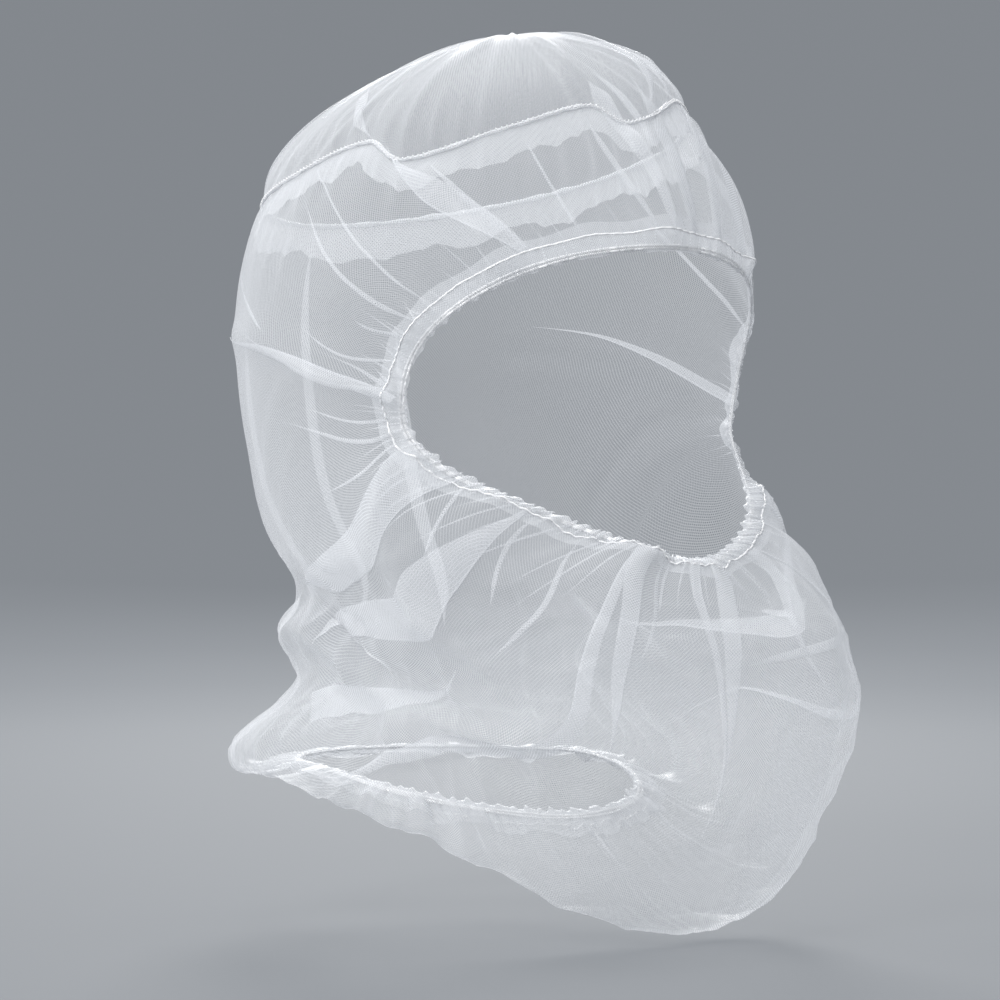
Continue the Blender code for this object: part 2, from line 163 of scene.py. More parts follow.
@dataclass(frozen=True)
class HoodForm:
    """The smooth worn form: rings from the face opening to the neck, the upper ones over a head form."""

    half_width: float = 0.082
    depth: float = 0.200
    height: float = 0.300
    head_y: float = -0.008
    head_z: float = -0.098
    to_front: float = 0.084
    to_back: float = 0.113
    to_top: float = 0.098
    to_base: float = 0.143
    on_head_to: float = 0.617
    on_head_fade: float = 0.150
    columns: tuple = (
        "along", "top_y", "top_z", "side_x", "side_y", "side_z", "low_y", "low_z",
        "full_top", "full_low", "flat_low", "round_top", "lift_low", "sway", "bag_x",
    )
    rings: tuple = (
        (0.00, -0.450, -0.257, 0.878, -0.210, -0.437, -0.505, -0.590, 0.20, -0.5, 0.0, 0.0, 0.0, 0.00, 0.878),
        (0.06, -0.425, -0.180, 0.951, -0.185, -0.440, -0.560, -0.623, 0.25, 0.25, 0.8, 0.0, 0.2, 0.01, 0.951),
        (0.15, -0.330, -0.080, 1.000, -0.140, -0.453, -0.608, -0.663, 0.25, 0.58, 1.0, 0.0, 0.5, 0.04, 0.994),
        (0.26, -0.100, 0.000, 1.010, -0.070, -0.477, -0.625, -0.710, 0.22, 0.60, 1.0, 0.0, 0.5, 0.06, 1.010),
        (0.36, 0.175, -0.020, 0.988, -0.010, -0.507, -0.628, -0.760, 0.20, 0.52, 1.0, 0.0, 0.4, 0.07, 1.010),
        (0.46, 0.410, -0.133, 0.945, 0.040, -0.547, -0.618, -0.807, 0.20, 0.44, 0.9, 0.0, 0.3, 0.09, 1.000),
        (0.56, 0.520, -0.283, 0.885, 0.070, -0.590, -0.603, -0.853, 0.15, 0.38, 0.8, 0.3, 0.2, 0.10, 0.988),
        (0.66, 0.495, -0.467, 0.805, 0.080, -0.627, -0.583, -0.893, 0.10, 0.34, 0.8, 0.7, 0.1, 0.11, 0.976),
        (0.74, 0.370, -0.620, 0.720, 0.080, -0.653, -0.560, -0.930, 0.00, 0.34, 0.7, 1.0, 0.0, 0.12, 0.963),
        (0.80, 0.395, -0.680, 0.817, 0.080, -0.687, -0.535, -0.960, 0.00, 0.30, 0.6, 1.0, 0.0, 0.14, 0.960),
        (0.86, 0.360, -0.740, 0.744, 0.075, -0.737, -0.490, -0.987, 0.00, 0.26, 0.5, 1.0, 0.0, 0.15, 0.965),
        (0.92, 0.480, -0.803, 1.000, 0.070, -0.810, -0.425, -1.003, 0.00, 0.12, 0.3, 1.0, 0.0, 0.16, 0.980),
        (0.96, 0.470, -0.837, 0.976, 0.070, -0.843, -0.335, -0.967, 0.00, 0.05, 0.0, 1.0, 0.0, 0.10, 0.900),
        (1.00, 0.360, -0.823, 0.707, 0.075, -0.830, -0.215, -0.873, 0.00, 0.00, 0.0, 1.0, 0.0, 0.00, 0.707),
    )
    # Name, turn in degrees from the front to the wearer's left, degrees above the head's middle, spread in
    # degrees and rise as a share of the half width
    puffs: tuple = (
        ("front_puff", 25.0, 58.0, 30.0, 0.045),
        ("side_dent", -125.0, 62.0, 24.0, -0.030),
        ("nape_puff", 180.0, 5.0, 30.0, 0.012),
    )

    def ring(self, along: Array) -> dict[str, Array]:
        """Each column of the ring table at the shares along, in metres where it is a length.

        Args:
            along: ring shares, 0 at the face opening and 1 at the neck.

        Returns:
            The columns' values by name.
        """
        table = np.array(self.rings)
        scale = {"x": self.half_width, "y": self.depth, "z": self.height}
        values = {}
        for column, name in enumerate(self.columns[1:], start=1):
            size = self.half_width if name == "sway" else scale.get(name[-1], 1.0) if name[-2] == "_" else 1.0
            values[name] = through_points(along, table[:, 0], table[:, column]) * size
        return values

    def over_head(self, x: Array, y: Array, z: Array) -> tuple[Array, Array, Array]:
        """The points moved straight away from the head's middle onto the head form, with its puffs and dents.

        Each coordinate is divided by the root of the sum of squares of its shares of the half axes.

        Args:
            x: coordinates.
            y: coordinates.
            z: coordinates.

        Returns:
            The moved coordinates.
        """
        dy = y - self.head_y
        dz = z - self.head_z
        depth = np.where(dy < 0, self.to_front, self.to_back)
        height = np.where(dz > 0, self.to_top, self.to_base)
        stretch = 1.0 / np.sqrt((x / self.half_width) ** 2 + (dy / depth) ** 2 + (dz / height) ** 2)
        length = np.sqrt(x * x + dy * dy + dz * dz)
        rise = np.zeros_like(x)
        for _name, turn, above, spread, share in self.puffs:
            turn, above, spread = np.radians((turn, above, spread))
            facing = (x * np.sin(turn) - dy * np.cos(turn)) * np.cos(above) + dz * np.sin(above)
            away = np.arccos(np.clip(facing / length, -1.0, 1.0))
            rise = rise + share * self.half_width * np.exp(-((away / spread) ** 2))
        stretch = stretch + rise / length
        return x * stretch, self.head_y + dy * stretch, self.head_z + dz * stretch

    def base(self, around: Array, along: Array) -> Array:
        """The form without folds: squared-off half ellipses around each ring, blended onto the head form.

        Args:
            around: turns from the wearer's left over the top.
            along: ring shares.

        Returns:
            Points, with a last axis of three.
        """
        ring = self.ring(along)
        across = np.cos(TURN * around)
        over = np.sin(TURN * around)
        below = over < 0
        full = np.where(below, ring["full_low"], ring["full_top"])
        wide = across * (1 + full * over * over)
        deep = over * (1 + np.where(below, np.maximum(ring["full_low"], 0.0), 0.0) * across * across)
        flat = np.where(below, ring["flat_low"], 0.0) * smooth_step(-over / 0.5)
        sweep = wide * wide * (1 - flat + flat * wide * wide)
        lift = across * across * (1 + np.where(below, ring["lift_low"] * over * over, 0.0))
        middle_y = (ring["top_y"] + ring["low_y"]) / 2
        middle_z = (ring["top_z"] + ring["low_z"]) / 2
        half_width = ring["side_x"] + (ring["bag_x"] - ring["side_x"]) * smooth_step(-over / 0.6)
        x = half_width * wide + ring["sway"] * smooth_step(-over / 0.9)
        y = middle_y + (ring["top_y"] - middle_y) * deep + (ring["side_y"] - middle_y) * sweep
        z = middle_z + (ring["top_z"] - middle_z) * over + (ring["side_z"] - middle_z) * lift
        rounder = ring["round_top"] * smooth_step(over / 0.6)
        y = y + rounder * (ring["side_y"] + (ring["top_y"] - ring["side_y"]) * over - y)
        z = z + rounder * (ring["side_z"] + (ring["top_z"] - ring["side_z"]) * over - z)
        on_head = smooth_step((z / self.height + self.on_head_to) / self.on_head_fade)
        on_head = on_head * smooth_step((over + 0.3) / 0.4)
        head_x, head_y, head_z = self.over_head(x, y, z)
        moved = (x + (head_x - x) * on_head, y + (head_y - y) * on_head, z + (head_z - z) * on_head)
        return np.stack(moved, axis=-1)

    def normal(self, around: Array, along: Array) -> tuple[Array, Array]:
        """Outward normals by central differences, and the length of one turn around.

        Args:
            around: turns.
            along: ring shares.

        Returns:
            Unit normals, and lengths in metres.
        """
        step = 1e-4
        by_around = (self.base(around + step, along) - self.base(around - step, along)) / (2 * step)
        before = np.clip(along - step, 0.0, 1.0)
        after = np.clip(along + step, 0.0, 1.0)
        by_along = (self.base(around, after) - self.base(around, before)) / (after - before)[..., None]
        return -unit(np.cross(by_around, by_along)), np.linalg.norm(by_around, axis=-1)

    def share_at_depth(self, around: Array, depth: Array | float, opening: Opening) -> Array:
        """The ring share that lies a depth in from an opening's edge, read off the run of short steps inward.

        Args:
            around: turns.
            depth: metres, one or one for each place.
            opening: which edge.

        Returns:
            Ring shares.
        """
        steps = np.linspace(0.0, 0.25, 251)
        along = 1.0 - steps if opening is Opening.NECK else steps
        line = self.base(around[:, None] + 0.0 * along, 0.0 * around[:, None] + along)
        run = np.cumsum(np.linalg.norm(np.diff(line, axis=1), axis=-1), axis=1)
        run = np.concatenate([np.zeros((len(around), 1)), run], axis=1)
        wanted = np.broadcast_to(np.asarray(depth, dtype=float), around.shape)
        found = np.array([np.interp(want, row, steps) for want, row in zip(wanted, run)])
        return 1.0 - found if opening is Opening.NECK else found

    def edge_frames(self, around: Array, opening: Opening, depth: float) -> tuple[Array, Array, Array]:
        """At each place around an opening: its edge point, the way into the cloth and the way outward.

        Args:
            around: turns.
            opening: which edge.
            depth: how far in the cloth's direction is taken over.

        Returns:
            Points and two sets of unit vectors.
        """
        at_edge = np.full_like(around, float(opening.value))
        inside = self.share_at_depth(around, depth, opening)
        edge = self.base(around, at_edge)
        inward = unit(self.base(around, inside) - edge)
        outward, _length = self.normal(around, (at_edge + inside) / 2)
        outward = unit(outward - inward * np.sum(outward * inward, axis=-1, keepdims=True))
        return edge, inward, outward


@dataclass(frozen=True)
class SeamLine:
    """The line of the crown seam: a tilted plane with a wave on it, read by the turn from the front."""

    form: HoodForm
    height: float = -0.0435
    fall_back: float = 0.155
    fall_right: float = 0.050
    # Turn in degrees from the front to the wearer's right, and rise in millimetres
    waves: tuple = (
        (-180.0, 0.0), (-120.0, 0.0), (-75.0, 3.0), (-30.0, 9.0), (5.0, -2.0), (15.0, 5.0), (40.0, 0.0),
        (70.0, -5.0), (85.0, 5.0), (120.0, 3.0), (180.0, 0.0),
    )

    def level(self, x: Array, y: Array) -> Array:
        """The seam's height at each place: the plane plus the wave at the place's turn about the head.

        Args:
            x: coordinates.
            y: coordinates.

        Returns:
            Heights in metres.
        """
        turn = np.degrees(np.arctan2(-x, -(y - self.form.head_y)))
        table = np.array(self.waves)
        wave = through_points(turn, table[:, 0], table[:, 1]) * 0.001
        return self.height - self.fall_back * y + self.fall_right * x + wave

    def above(self, points: Array) -> Array:
        """How far each point lies above the seam, in metres."""
        return points[..., 2] - self.level(points[..., 0], points[..., 1])

    def direction(self, turn: Array, up: Array) -> Array:
        """Points of the head form, seen from its middle at a turn from front to right and an angle up.

        Args:
            turn: turns, 0 in front and 0.25 on the wearer's right.
            up: angles above the head's middle, in radians.

        Returns:
            Points.
        """
        flat = np.cos(up)
        x = -np.sin(TURN * turn) * flat
        y = self.form.head_y - np.cos(TURN * turn) * flat
        z = self.form.head_z + np.sin(up)
        return np.stack(self.form.over_head(x, y, z), axis=-1)

    def angle(self, turn: Array) -> Array:
        """The angle up of the seam at each turn, by halving the range between 0 and straight up 26 times.

        Args:
            turn: turns.

        Returns:
            Angles in radians.
        """
        low = np.zeros_like(turn)
        high = np.full_like(turn, np.pi / 2)
        for _step in range(26):
            middle = (low + high) / 2
            over = self.above(self.direction(turn, middle)) > 0
            low = np.where(over, low, middle)
            high = np.where(over, middle, high)
        return (low + high) / 2


@dataclass(frozen=True)
class Relief:
    """How far folds, gathers and crumples lift the body cloth off the smooth form."""

    form: HoodForm
    seam: SeamLine
    # Name, first and last ring share, degrees around at the start, middle and end, and width and rise as
    # shares of the half width
    folds: tuple = (
        ("forehead_pleat", 0.00, 0.35, 90.0, 95.0, 105.0, 0.090, 0.040),
        ("forehead_band", 0.00, 0.35, 125.0, 130.0, 130.0, 0.100, 0.040),
        ("temple_pleat", 0.00, 0.40, 150.0, 150.0, 135.0, 0.090, 0.030),
        ("ear_band", 0.00, 0.55, 175.0, 165.0, 135.0, 0.100, 0.040),
        ("cheek_edge", 0.00, 0.60, 195.0, 195.0, 180.0, 0.110, 0.030),
        ("cheek_band", 0.00, 0.85, 215.0, 205.0, 185.0, 0.150, 0.050),
        ("jaw_band", 0.00, 0.95, 245.0, 230.0, 190.0, 0.120, 0.050),
        ("chin_pleat", 0.00, 0.75, 250.0, 245.0, 235.0, 0.110, 0.040),
        ("front_band", 0.00, 0.75, 270.0, 265.0, 260.0, 0.130, 0.040),
        ("front_side_pleat", 0.00, 0.45, 295.0, 285.0, 285.0, 0.120, 0.045),
        ("far_jaw_band", 0.00, 0.95, 310.0, 320.0, 350.0, 0.130, 0.045),
        ("far_cheek_band", 0.00, 0.85, 330.0, 340.0, 355.0, 0.130, 0.045),
        ("far_ear_band", 0.00, 0.55, 10.0, 15.0, 45.0, 0.100, 0.035),
        ("far_temple_pleat", 0.00, 0.40, 35.0, 35.0, 45.0, 0.090, 0.025),
        ("far_forehead_band", 0.00, 0.35, 60.0, 55.0, 50.0, 0.100, 0.035),
    )
    # Opening, waves around it, height and reach in metres, and seed
    gathers: tuple = (
        (Opening.FACE, 74, 0.00085, 0.006, 11),
        (Opening.FACE, 37, 0.00115, 0.020, 12),
        (Opening.FACE, 19, 0.00130, 0.048, 13),
        (Opening.NECK, 78, 0.00110, 0.007, 21),
        (Opening.NECK, 39, 0.00190, 0.024, 22),
        (Opening.NECK, 20, 0.00220, 0.050, 23),
    )
    crease_height: float = 0.0013
    crease_length: float = 0.045
    # Degrees around the face edge, and how many degrees the cloth's lines drift from there to the neck
    leans: tuple = (
        (0.0, 35.0), (30.0, 0.0), (60.0, -20.0), (90.0, 35.0), (125.0, 35.0), (150.0, 0.0), (175.0, -45.0),
        (190.0, -10.0), (205.0, -25.0), (215.0, -35.0), (245.0, -45.0), (260.0, -10.0), (280.0, -40.0),
        (300.0, -60.0), (310.0, 30.0), (325.0, 40.0), (345.0, 20.0), (360.0, 35.0),
    )
    # Degrees around the face edge, and how strongly the elastic gathers the cloth there
    draws: tuple = (
        (0.0, 0.8), (30.0, 0.45), (60.0, 0.15), (90.0, 0.10), (125.0, 0.15), (150.0, 0.6), (174.0, 1.0),
        (195.0, 1.0), (215.0, 0.6), (262.0, 0.5), (300.0, 0.6), (330.0, 0.8), (360.0, 0.8),
    )

    def draw(self, around: Array) -> Array:
        """How strongly the elastic gathers the cloth at each turn of the face edge, from 0 to 1."""
        table = np.array(self.draws)
        return np.interp((around % 1.0) * 360.0, table[:, 0], table[:, 1])

    def lean(self, around: Array) -> Array:
        """How far the cloth's lines drift around from the face edge to the neck: the table's straight pieces.

        Args:
            around: turns.

        Returns:
            Turns of drift over the whole way.
        """
        table = np.array(self.leans)
        return np.interp((around % 1.0) * 360.0, table[:, 0], table[:, 1]) / 360.0

    def depth_table(self) -> tuple[Array, Array]:
        """Run from the face edge, and whole run, of 128 lines along the form in 200 steps.

        Returns:
            The runs, lines by steps, and the whole lengths.
        """
        around = np.arange(128) / 128
        along = np.linspace(0.0, 1.0, 201)
        line = self.form.base(around[:, None] + 0.0 * along, 0.0 * around[:, None] + along)
        run = np.cumsum(np.linalg.norm(np.diff(line, axis=1), axis=-1), axis=1)
        run = np.concatenate([np.zeros((128, 1)), run], axis=1)
        return run, run[:, -1]

    def depths(self, around: Array, along: Array) -> tuple[Array, Array]:
        """How far each place lies in from the face edge and from the neck edge, between the table's lines.

        Args:
            around: turns.
            along: ring shares.

        Returns:
            Two sets of lengths in metres.
        """
        run, whole = self.depth_table()
        column = (around % 1.0) * 128
        row = np.clip(along, 0.0, 1.0) * 200
        i = np.floor(column).astype(int)
        k = np.minimum(np.floor(row).astype(int), 199)
        a = column - i
        b = row - k
        i = i % 128
        j = (i + 1) % 128
        before = run[i, k] * (1 - a) + run[j, k] * a
        after = run[i, k + 1] * (1 - a) + run[j, k + 1] * a
        near = before * (1 - b) + after * b
        length = whole[i] * (1 - a) + whole[j] * a
        return near, length - near

    def fold_lift(self, around: Array, along: Array, turn_length: Array) -> Array:
        """The sum of soft ridges: each a bell across a parabola through three places, eased at both ends.

        Args:
            around: turns.
            along: ring shares.
            turn_length: length of one turn at each place.

        Returns:
            Heights in metres.
        """
        rise = np.zeros_like(along)
        for _name, first, last, start, middle, end, width, height in self.folds:
            t = np.clip((along - first) / (last - first), 0.0, 1.0)
            path = start * (1 - t) * (1 - 2 * t) + 4 * middle * t * (1 - t) + end * t * (2 * t - 1)
            off = (around - path / 360.0 + 0.5) % 1.0 - 0.5
            reach = off * turn_length / (width * self.form.half_width)
            ends = smooth_step((along - first + 0.03) / 0.06) * smooth_step((last - along) / 0.12)
            rise = rise + height * self.form.half_width * np.exp(-reach * reach) * ends
        return rise

    def gather_lift(self, around: Array, from_face: Array, from_neck: Array) -> Array:
        """Gathers that merge as they leave an elastic: finer waves fade sooner, by an exponential of depth.

        Args:
            around: turns.
            from_face: depths in metres.
            from_neck: depths in metres.

        Returns:
            Heights in metres.
        """
        over = np.sin(TURN * around)
        rise = np.zeros_like(around)
        for opening, waves, height, reach, seed in self.gathers:
            depth = from_face if opening is Opening.FACE else from_neck
            strength = 1.0 - 0.35 * smooth_step(over / 0.5) if opening is Opening.FACE else 1.0
            rise = rise + height * strength * np.exp(-depth / reach) * ripple(around, waves, seed)
        return rise

    def crease_lift(self, points: Array, weight: Array) -> Array:
        """Crumples of loose cloth: sharp-topped waves, 1 less the size of a sine, along six seeded ways.

        Args:
            points: where on the form.
            weight: how loose the cloth is there, 0 to 1.

        Returns:
            Heights in metres.
        """
        rng = np.random.default_rng(5)
        total = np.zeros(points.shape[:-1])
        for number in range(6):
            way = unit(rng.normal(size=3))
            other = unit(rng.normal(size=3))
            length = self.crease_length * (1.0 - 0.11 * number)
            bend = 0.8 * np.sin(TURN * (points @ other) / (length * 2.3) + rng.uniform(0, TURN))
            wave = np.abs(np.sin(np.pi * (points @ way) / length + bend + rng.uniform(0, TURN)))
            total = total + (0.9 - 0.1 * number) * ((1.0 - wave) ** 2.2 - 0.3)
        return self.crease_height * weight * total

    def looseness(self, points: Array, along: Array) -> Array:
        """0 where the cloth is drawn over the head, 1 in the ruffles and the bag."""
        lower = smooth_step((-0.150 - points[..., 2]) / 0.060)
        return lower * smooth_step(along / 0.12) * smooth_step((1.0 - along) / 0.05)

    def height(self, around: Array, along: Array, points: Array, turn_length: Array) -> Array:
        """The whole lift: folds, gathers, creases and the puckers under the crown seam.

        Args:
            around: turns.
            along: ring shares.
            points: the smooth form's points.
            turn_length: length of one turn at each place.

        Returns:
            Heights in metres.
        """
        from_face, from_neck = self.depths(around, along)
        above = self.seam.above(points)
        drawn = around - self.lean(around) * np.minimum(along, 0.35)
        under = smooth_step(np.abs(above) / 0.010)
        lift = self.fold_lift(around, along, turn_length) * under
        lift = lift + self.gather_lift(drawn, from_face, from_neck)
        lift = lift + self.crease_lift(points, self.looseness(points, along))
        near = np.abs(above)
        turn = np.arctan2(-points[..., 0], -(points[..., 1] - self.form.head_y)) / TURN
        pucker = 0.0007 * ripple(turn, 46, 31) + 0.0006 * ripple(turn, 23, 32)
        return lift + pucker * (near / 0.005) * np.exp(1.0 - near / 0.005)


@dataclass(frozen=True)
class BodySurface:
    """The body cloth as one surface that anything can be laid on."""

    form: HoodForm
    relief: Relief

    def lay(self, around: Array, along: Array, lift: Array | float) -> Array:
        """The folded body cloth moved outward: form point plus normal times relief and lift.

        Args:
            around: turns.
            along: ring shares.
            lift: metres.

        Returns:
            Points.
        """
        along = np.clip(along, 0.0, 1.0)
        points = self.form.base(around, along)
        normal, turn_length = self.form.normal(around, along)
        height = self.relief.height(around, along, points, turn_length) + lift
        return points + normal * height[..., None]

    def smooth(self, around: Array, along: Array) -> Array:
        """The form's points without folds."""
        return self.form.base(around, np.clip(along, 0.0, 1.0))


@dataclass(frozen=True)
class CrownSurface:
    """The crown cloth as one surface, by turn from front to right and reach from the top to the seam."""

    form: HoodForm
    seam: SeamLine
    blouse: float = 0.0035
    blouse_reach: float = 0.016
    top_to_seam: float = 0.085
    half_axes: tuple = (0.082, 0.098, 0.098)
    # Waves around the seam, height and reach in metres, and seed
    puckers: tuple = ((46, 0.0007, 0.006, 31), (23, 0.0010, 0.014, 32), (12, 0.0011, 0.030, 33))

    def outward(self, points: Array, half_axes: Sequence[float]) -> Array:
        """The way out of an ellipsoid about the head's middle.

        Args:
            points: where on it.
            half_axes: its half axes in metres.

        Returns:
            Unit vectors.
        """
        middle = np.array([0.0, self.form.head_y, self.form.head_z])
        return unit((points - middle) / np.array(half_axes) ** 2)

    def smooth(self, turn: Array, reach: Array) -> Array:
        """Points on the head form at an angle from straight up that grows evenly to the seam's.

        Args:
            turn: turns.
            reach: 0 at the top and 1 at the seam.

        Returns:
            Points.
        """
        span = np.pi / 2 - self.seam.angle(turn)
        return self.seam.direction(turn, np.pi / 2 - span * reach)

    def lay(self, turn: Array, reach: Array, lift: Array | float) -> Array:
        """The crown cloth moved outward: it blouses over the seam and puckers towards it.

        Args:
            turn: turns.
            reach: 0 at the top and 1 at the seam.
            lift: metres.

        Returns:
            Points.
        """
        points = self.smooth(turn, reach)
        out = self.outward(points, self.half_axes)
        back = np.maximum(1.0 - reach, 0.0) * self.top_to_seam
        height = self.blouse * (back / self.blouse_reach) * np.exp(1.0 - back / self.blouse_reach)
        for waves, size, fade, seed in self.puckers:
            height = height + size * ripple(turn, waves, seed) * (back / fade) * np.exp(1.0 - back / fade)
        return points + out * (height + lift)[..., None]


def cubic_through(t: Array, values: Sequence[float]) -> Array:
    """The cubic that passes four values at 0, a third, two thirds and 1, in Lagrange's form.

    Args:
        t: 0 to 1.
        values: four values.

    Returns:
        The cubic's values.
    """
    a, b, c, d = values
    third, two = 1 / 3, 2 / 3
    return (
        a * (t - third) * (t - two) * (t - 1) / (-third * two)
        + b * t * (t - two) * (t - 1) / (third * third * two)
        - c * t * (t - third) * (t - 1) / (two * third * third)
        + d * t * (t - third) * (t - two) / (two * third)
    )


def through_places(t: Array, line: tuple) -> tuple[Array, Array]:
    """The cubics through a line's four places.

    Args:
        t: 0 to 1.
        line: four places, in degrees around and ring share.

    Returns:
        Turns and ring shares.
    """
    return cubic_through(t, [p[0] / 360.0 for p in line]), cubic_through(t, [p[1] for p in line])


def loop_places(line: Array, width: Array, sides: int) -> Array:
    """Where a flattened loop's points lie on the cloth: twice its width around it, and the run along it.

    Args:
        line: a line of points along the loop.
        width: the loop's width at each of them.
        sides: points across.

    Returns:
        Places in metres, along by across.
    """
    run = np.concatenate([[0.0], np.cumsum(np.linalg.norm(np.diff(line, axis=0), axis=-1))])
    around_loop = np.linspace(0.0, 1.0, sides)[None, :] * width[:, None] * 2.0
    return np.stack(np.broadcast_arrays(around_loop, run[:, None]), axis=-1)


@dataclass(frozen=True)
class Pleat:
    """A laid pleat: a path of four places, in degrees around and ring share, and three widths along it.

    A band with four places for its fold has no widths.
    """

    name: str
    path: tuple
    widths: tuple = ()
    side: Side = Side.RIGHT
    fade: float = 0.30
    caught: float = 0.0
    thick: float = 0.0011
    clear: float = 0.00025

    def course(self, surface: "BodySurface | CrownSurface", t: Array) -> tuple[Array, Array, Array, Array]:
        """The path through its four places, and how its places change for one metre across it.

        Args:
            surface: what the pleat lies on.
            t: shares of the way along.

        Returns:
            Turns, ring shares, and the change of each for a metre towards the pleat's side.
        """
        first, second = through_places(t, self.path)
        by_t = (np.gradient(first, t), np.gradient(second, t))
        h = 1e-3
        by_first = (surface.smooth(first + h, second) - surface.smooth(first - h, second)) / (2 * h)
        low = np.clip(second - h, 0.0, 1.0)
        high = np.clip(second + h, 0.0, 1.0)
        by_second = (surface.smooth(first, high) - surface.smooth(first, low)) / (high - low)[:, None]
        ahead = unit(by_first * by_t[0][:, None] + by_second * by_t[1][:, None])
        out = -unit(np.cross(by_first, by_second))
        over = unit(np.cross(out, ahead)) * self.side.value
        e = np.sum(by_first * by_first, axis=-1)
        f = np.sum(by_first * by_second, axis=-1)
        g = np.sum(by_second * by_second, axis=-1)
        p = np.sum(over * by_first, axis=-1)
        q = np.sum(over * by_second, axis=-1)
        det = e * g - f * f
        return first, second, (p * g - q * f) / det, (q * e - p * f) / det

    def closing(self, t: Array) -> Array:
        """1 along the pleat, closing to a twentieth over each end that isn't caught in a casing."""
        end = 0.05 + 0.95 * smooth_step((1.0 - t) / self.fade) ** 0.8
        return end * (0.05 + 0.95 * smooth_step((t + self.caught) / self.fade) ** 0.8)

    def width(self, t: Array) -> Array:
        """The three widths joined by a parabola, times the closing of the ends."""
        start, middle, end = self.widths
        width = start * (1 - t) * (1 - 2 * t) + 4 * middle * t * (1 - t) + end * t * (2 * t - 1)
        return np.maximum(width, 0.0003) * self.closing(t)


@dataclass(frozen=True)
class Tuck(Pleat):
    """One narrow laid pleat: a flat loop of cloth along its path, turned over to one side."""

    def points(self, surface: "BodySurface | CrownSurface", steps: int, sides: int) -> tuple[Array, Array]:
        """A flattened loop carried along the path: across is the power 0.7 of a sine, height is a cosine.

        Args:
            surface: what the pleat lies on.
            steps: points along.
            sides: points across.

        Returns:
            Points, along by across, and their places on the cloth in metres.
        """
        t = np.linspace(0.0, 1.0, steps)
        first, second, to_first, to_second = self.course(surface, t)
        width = self.width(t)
        angle = np.linspace(0.0, np.pi, sides)
        share = np.abs(np.sin(angle)) ** 0.7
        across = width[:, None] * (share - 0.5)[None, :]
        open_by = smooth_step(share / 0.35)
        level = np.sign(np.cos(angle)) * np.abs(np.cos(angle)) ** 0.6
        lift = self.clear + self.thick * 0.5 * open_by * (1.0 + level)
        swell = np.minimum(width / 0.006, 1.6)[:, None]
        points = surface.lay(
            first[:, None] + to_first[:, None] * across, second[:, None] + to_second[:, None] * across,
            lift[None, :] * swell,
        )
        return points, loop_places(points[:, sides // 2], width, sides)


@dataclass(frozen=True)
class Band(Pleat):
    """One broad laid pleat from its root to its fold, rolled over a little and caught where it starts.

    Its path is its middle line, or its root where the fold has four places of its own. The pleat is drawn
    taut: wherever the mean of its neighbours along it lies further out, it bridges the hollow.
    """

    fade: float = 0.45
    caught: float = 0.45
    thick: float = 0.0003
    roll: float = 0.0007
    bridge: int = 12
    fold: tuple = ()

    def edges(self, surface: "BodySurface | CrownSurface", t: Array) -> tuple[Array, Array]:
        """Where the pleat is rooted and where it folds.

        Args:
            surface: what the pleat lies on.
            t: shares of the way along.

        Returns:
            Turns and ring shares of the root, and of the fold.
        """
        if self.fold:
            root = np.stack(through_places(t, self.path), axis=-1)
            edge = np.stack(through_places(t, self.fold), axis=-1)
            return root, root + (edge - root) * self.closing(t)[:, None]
        first, second, to_first, to_second = self.course(surface, t)
        middle = np.stack((first, second), axis=-1)
        half = np.stack((to_first, to_second), axis=-1) * self.width(t)[:, None] / 2
        return middle - half, middle + half

    def points(self, surface: "BodySurface | CrownSurface", steps: int, sides: int) -> tuple[Array, Array]:
        """A flattened loop: from the root to the fold, back by the roll, out again and home, rising evenly.

        Args:
            surface: what the pleat lies on.
            steps: points along.
            sides: points across.

        Returns:
            Points, along by across, and their places on the cloth in metres.
        """
        t = np.linspace(0.0, 1.0, steps)
        root, edge = self.edges(surface, t)
        reach = surface.smooth(edge[:, 0], edge[:, 1]) - surface.smooth(root[:, 0], root[:, 1])
        width = np.linalg.norm(reach, axis=-1)
        rolled = np.minimum(self.roll / width, 0.35)[:, None]
        at = np.linspace(0.0, 1.0, sides)
        base = np.interp(at, (0.0, 0.38, 0.50, 0.62, 1.0), (0.0, 1.0, 0.0, 1.0, 0.0))
        share = np.where(np.abs(at - 0.5) < 0.12, 1.0 - rolled * (1.0 - base), base)
        place = root[:, None] + (edge - root)[:, None] * share[..., None]
        around = place[..., 0]
        along = np.clip(place[..., 1], 0.0, 1.0)
        open_by = smooth_step(share / 0.35)
        lift = self.clear + self.thick * open_by * (0.08 + 0.92 * at)
        flat = surface.smooth(around, along)
        points = flat + run_mean(surface.lay(around, along, lift) - flat, self.bridge)
        out = unit(surface.lay(around, along, lift + 0.001) - points)
        for reach in (self.bridge * 2, self.bridge):
            gap = np.sum((run_mean(points, reach) - points) * out, axis=-1)
            points = points + out * run_mean(np.maximum(gap, 0.0), self.bridge // 2)[..., None]
        return points, loop_places(points[:, int(0.38 * (sides - 1))], width, sides)


def grid_faces(rows: int, columns: int, closed: bool) -> Array:
    """The quads of a grid, rows by columns; closed joins the last row to the first.

    Args:
        rows: how many rows.
        columns: how many columns.
        closed: whether the rows run round.

    Returns:
        Faces by four corners.
    """
    i = np.arange(rows if closed else rows - 1)[:, None]
    k = np.arange(columns - 1)[None, :]
    j = (i + 1) % rows
    corners = (i * columns + k, j * columns + k, j * columns + k + 1, i * columns + k + 1)
    return np.stack(np.broadcast_arrays(*corners), axis=-1).reshape(-1, 4)


